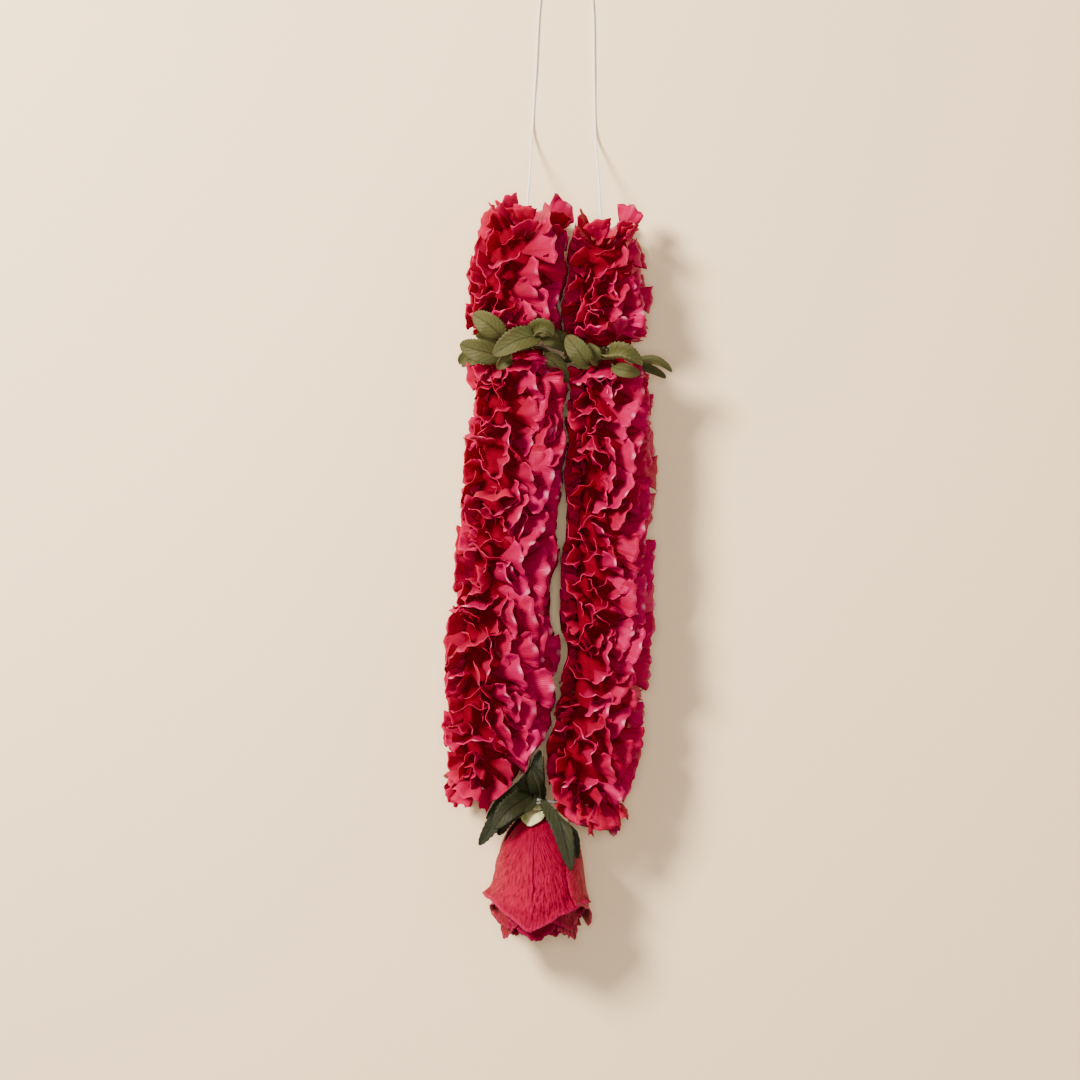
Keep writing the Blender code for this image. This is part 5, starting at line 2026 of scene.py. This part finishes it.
@dataclass
class Garland:
    """The whole garland, built from its sub-assemblies."""

    left: StrandForm = field(
        default_factory=lambda: StrandForm(
            side=Side.LEFT,
            rows=(
                (-17.5, 192.0, 24.0),
                (-20.5, 174.0, 27.0),
                (-23.5, 151.0, 28.5),
                (-23.0, 126.0, 26.5),
                (-21.5, 103.0, 27.0),
                (-23.0, 78.0, 29.0),
                (-25.2, 50.0, 29.5),
                (-27.2, 17.0, 28.5),
                (-31.0, -17.0, 29.5),
                (-33.2, -45.0, 30.5),
                (-33.8, -73.0, 30.5),
                (-34.8, -97.0, 29.5),
                (-38.0, -112.0, 25.5),
                (-42.0, -121.0, 21.0),
                (-45.5, -129.0, 17.0),
            ),
            axis_z=26.5,
            edge=(
                *seam_edge(Side.LEFT),
                (-95.0, -6.6),
                (-103.0, -14.5),
                (-112.0, -17.0),
                (-121.0, -26.0),
                (-129.0, -36.0),
                (-138.0, -41.0),
                (-155.0, -48.0),
            ),
            collar_y=126.0,
            end_y=-121.0,
            cord_start=NeckCord.route[:3],
            thread_end=((-39.5, -125.0, 26.8), (-27.0, -128.0, 27.0), (-13.45, -129.0, 27.4)),
        )
    )
    right: StrandForm = field(
        default_factory=lambda: StrandForm(
            side=Side.RIGHT,
            rows=(
                (25.6, 185.0, 22.0),
                (27.2, 171.0, 23.5),
                (27.6, 151.0, 24.0),
                (29.0, 122.0, 23.5),
                (30.0, 95.0, 24.0),
                (30.5, 67.0, 25.5),
                (28.8, 39.0, 26.0),
                (27.6, 11.0, 26.0),
                (27.2, -17.0, 27.0),
                (26.8, -45.0, 26.0),
                (25.6, -67.0, 25.5),
                (22.5, -90.0, 27.0),
                (19.0, -110.0, 26.0),
                (17.5, -127.0, 23.0),
                (18.0, -136.0, 19.0),
            ),
            axis_z=24.5,
            edge=(
                *seam_edge(Side.RIGHT),
                (-98.0, -7.0),
                (-128.0, -5.5),
                (-137.0, 3.0),
                (-145.0, 12.5),
                (-154.0, 16.5),
                (-165.0, 18.0),
            ),
            collar_y=122.0,
            end_y=-131.0,
            cord_start=NeckCord.route[:-4:-1],
            thread_end=((14.0, -134.0, 25.5), (5.0, -130.5, 27.0), (-5.55, -129.2, 27.4)),
        )
    )
    # A leaf is its azimuth, rise, length, width, roll and arch.
    left_leaves: Rows = (
        (140.0, 12.0, 26.0, 14.0, 50.0, 4.0),
        (192.0, -15.0, 32.0, 13.0, 50.0, 12.0),
        (228.0, -6.0, 28.0, 17.0, -15.0, 4.0),
        (266.0, 5.0, 27.0, 18.0, 0.0, 4.0),
        (310.0, -6.0, 28.0, 17.0, 15.0, 6.0),
    )
    right_leaves: Rows = (
        (102.0, -8.0, 24.0, 14.0, 40.0, 4.0),
        (166.0, 2.0, 26.0, 15.0, -25.0, 4.0),
        (208.0, -6.0, 27.0, 15.0, -15.0, 4.0),
        (252.0, 5.0, 27.0, 17.0, 0.0, 4.0),
        (302.0, -5.0, 28.0, 17.0, 10.0, 6.0),
    )
    left_laid: Sequence[LaidLeaf] = (
        LaidLeaf(
            ((-25.5, 127.0, 28.5), (-29.5, 129.0, 51.0), (-38.0, 136.0, 57.0), (-46.5, 141.8, 53.0)),
            width=14.5,
            turn=20.0,
        ),
        LaidLeaf(
            ((-25.5, 125.0, 28.0), (-30.5, 119.5, 45.0), (-42.5, 121.5, 50.0), (-54.0, 125.5, 45.0)),
            width=15.0,
            turn=20.0,
            pitch=-5.0,
        ),
        LaidLeaf(
            ((-22.0, 127.0, 29.5), (-11.5, 129.5, 54.0), (-22.5, 126.5, 61.0), (-35.5, 119.0, 58.0)),
            width=15.0,
            turn=5.0,
            pitch=12.0,
            curl=0.2,
        ),
        LaidLeaf(
            ((-20.5, 127.0, 29.0), (-15.0, 129.0, 47.0), (-8.0, 132.5, 54.0), (-2.5, 129.5, 52.0)),
            width=9.5,
            turn=-10.0,
            pitch=25.0,
            curl=1.2,
        ),
        LaidLeaf(
            ((-20.0, 126.0, 29.0), (-12.0, 128.0, 42.0), (-4.0, 129.5, 46.0), (2.0, 127.5, 44.0)),
            width=7.5,
            pitch=45.0,
            curl=0.3,
        ),
        LaidLeaf(
            ((-24.0, 125.0, 30.0), (-26.0, 120.0, 44.0), (-29.0, 116.0, 50.0), (-33.0, 111.5, 49.0)),
            width=8.0,
            turn=10.0,
            pitch=-20.0,
            curl=0.2,
        ),
        LaidLeaf(
            ((-26.0, 124.0, 27.0), (-40.0, 121.0, 33.0), (-50.0, 119.5, 35.0), (-54.5, 115.0, 34.0)),
            width=7.0,
            turn=15.0,
            pitch=10.0,
            curl=0.3,
        ),
        LaidLeaf(
            ((-18.0, 126.5, 26.0), (-8.0, 129.0, 31.0), (2.0, 128.0, 33.0), (11.0, 121.0, 31.0)),
            width=13.0,
            pitch=15.0,
        ),
        LaidLeaf(
            ((-18.0, 125.0, 24.0), (-8.0, 120.0, 27.0), (0.0, 114.0, 28.0), (5.0, 104.0, 26.0)),
            width=12.0,
            pitch=5.0,
        ),
    )
    right_laid: Sequence[LaidLeaf] = (
        LaidLeaf(
            ((26.5, 121.5, 27.5), (18.0, 114.0, 47.0), (12.0, 121.0, 53.0), (5.2, 130.0, 48.0)),
            width=14.0,
            turn=15.0,
        ),
        LaidLeaf(
            ((27.5, 122.0, 28.0), (22.5, 115.0, 46.0), (20.5, 120.0, 50.0), (18.0, 126.0, 48.0)),
            width=8.5,
            turn=-25.0,
            curl=0.1,
        ),
        LaidLeaf(
            ((29.0, 123.0, 28.0), (27.5, 118.0, 48.0), (36.5, 118.0, 55.0), (47.0, 113.5, 51.0)),
            width=10.0,
            turn=-5.0,
            pitch=35.0,
            curl=1.3,
        ),
        LaidLeaf(
            ((30.0, 121.5, 28.0), (31.0, 113.0, 47.0), (38.0, 110.5, 53.0), (46.0, 109.0, 49.0)),
            width=8.5,
            turn=-10.0,
            pitch=-5.0,
            curl=0.2,
        ),
        LaidLeaf(
            ((31.5, 122.0, 26.0), (42.0, 116.5, 38.0), (54.0, 116.5, 43.0), (64.0, 110.5, 40.0)),
            width=7.0,
            turn=-15.0,
            pitch=30.0,
            curl=0.1,
        ),
        LaidLeaf(
            ((31.5, 121.5, 25.0), (43.0, 114.5, 34.0), (53.0, 111.5, 37.0), (60.5, 107.0, 35.0)),
            width=6.0,
            turn=-15.0,
            pitch=20.0,
            curl=0.2,
        ),
    )
    collar_half: float = 3.7
    seed: int = 11
    petal_rows: Sequence[float] = (0.0, 0.3, 0.55, 0.74, 0.88, 1.0)

    def build(self) -> None:
        """Makes every piece of the garland in order."""
        cotton = CottonFinish().make()
        NeckCord().build(cotton)
        self.build_strands(cotton)
        self.build_pendant(cotton)

    def build_strands(self, cotton: bpy.types.Material) -> None:
        """Makes both strands' petals, leaf collars and threads.

        Args:
            cotton: the threads' material.
        """
        petals = [PetalFinish().make(), CoreFinish().make()]
        leaf = LeafFinish().make()
        petal_blank = Blank(columns=10, rows=self.petal_rows, thickness=0.28)
        leaf_blank = Blank(columns=8, rows=Leaf.rows(), thickness=0.35)
        sides = (
            (self.left, self.left_leaves, self.left_laid),
            (self.right, self.right_leaves, self.right_laid),
        )
        for number, (strand, leaves, laid) in enumerate(sides):
            side = strand.side.value
            seed = self.seed + 10 * number
            above, below = strand.collar - self.collar_half, strand.collar + self.collar_half
            runs = {
                "upper": PetalRun(strand, 0.0, above, RunEnd.OPEN, RunEnd.COLLAR, seed),
                "lower": PetalRun(strand, below, strand.end, RunEnd.COLLAR, RunEnd.OPEN, seed + 1),
            }
            for place, run in runs.items():
                made = run.build(f"rose_petals_{side}_{place}", petal_blank, petals)
                put_in_place(made, f"petals_{side}_{place}")
            collar = LeafCollar(strand, leaves, laid).build(f"rose_leaf_collar_{side}", leaf_blank, leaf)
            put_in_place(collar, f"leaf_collar_{side}")
            thread = StrandThread(strand).build(cotton)
            put_in_place(thread, f"thread_{side}")

    def build_pendant(self, cotton: bpy.types.Material) -> None:
        """Makes the knot, the leaves below it and the rose.

        Args:
            cotton: the knot's material.
        """
        axis = RoseAxis()
        put_in_place(TieKnot(axis).build(cotton), "tie_knot")
        leaf_blank = Blank(columns=8, rows=Leaf.rows(), thickness=0.35)
        # The pendant leaves take the darker copy of the leaf finish: painted shade.
        leaves = PendantLeaves(axis, self.left, self.right).build(leaf_blank, SHADED_PENDANT_LEAF.make())
        put_in_place(leaves, "pendant_leaves")
        rose = Rose(axis, self.left)
        bloom_blank = Blank(columns=32, rows=[i / 26 for i in range(27)], thickness=0.5)
        bloom = rose.build_bloom(bloom_blank, [BloomFinish().make(), CoreFinish().make()])
        put_in_place(bloom, "rose_bloom")
        sepal_blank = Blank(columns=8, rows=[i / 12 for i in range(13)], thickness=0.6)
        calyx = rose.build_calyx(sepal_blank, SepalFinish().make())
        put_in_place(calyx, "rose_calyx")


def main() -> None:
    """Loads the frame, makes the camera and the cord first, then every piece."""
    logging.basicConfig(level=logging.INFO, format="%(message)s")
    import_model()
    Studio().build()
    Garland().build()


if __name__ == "__main__":
    main()
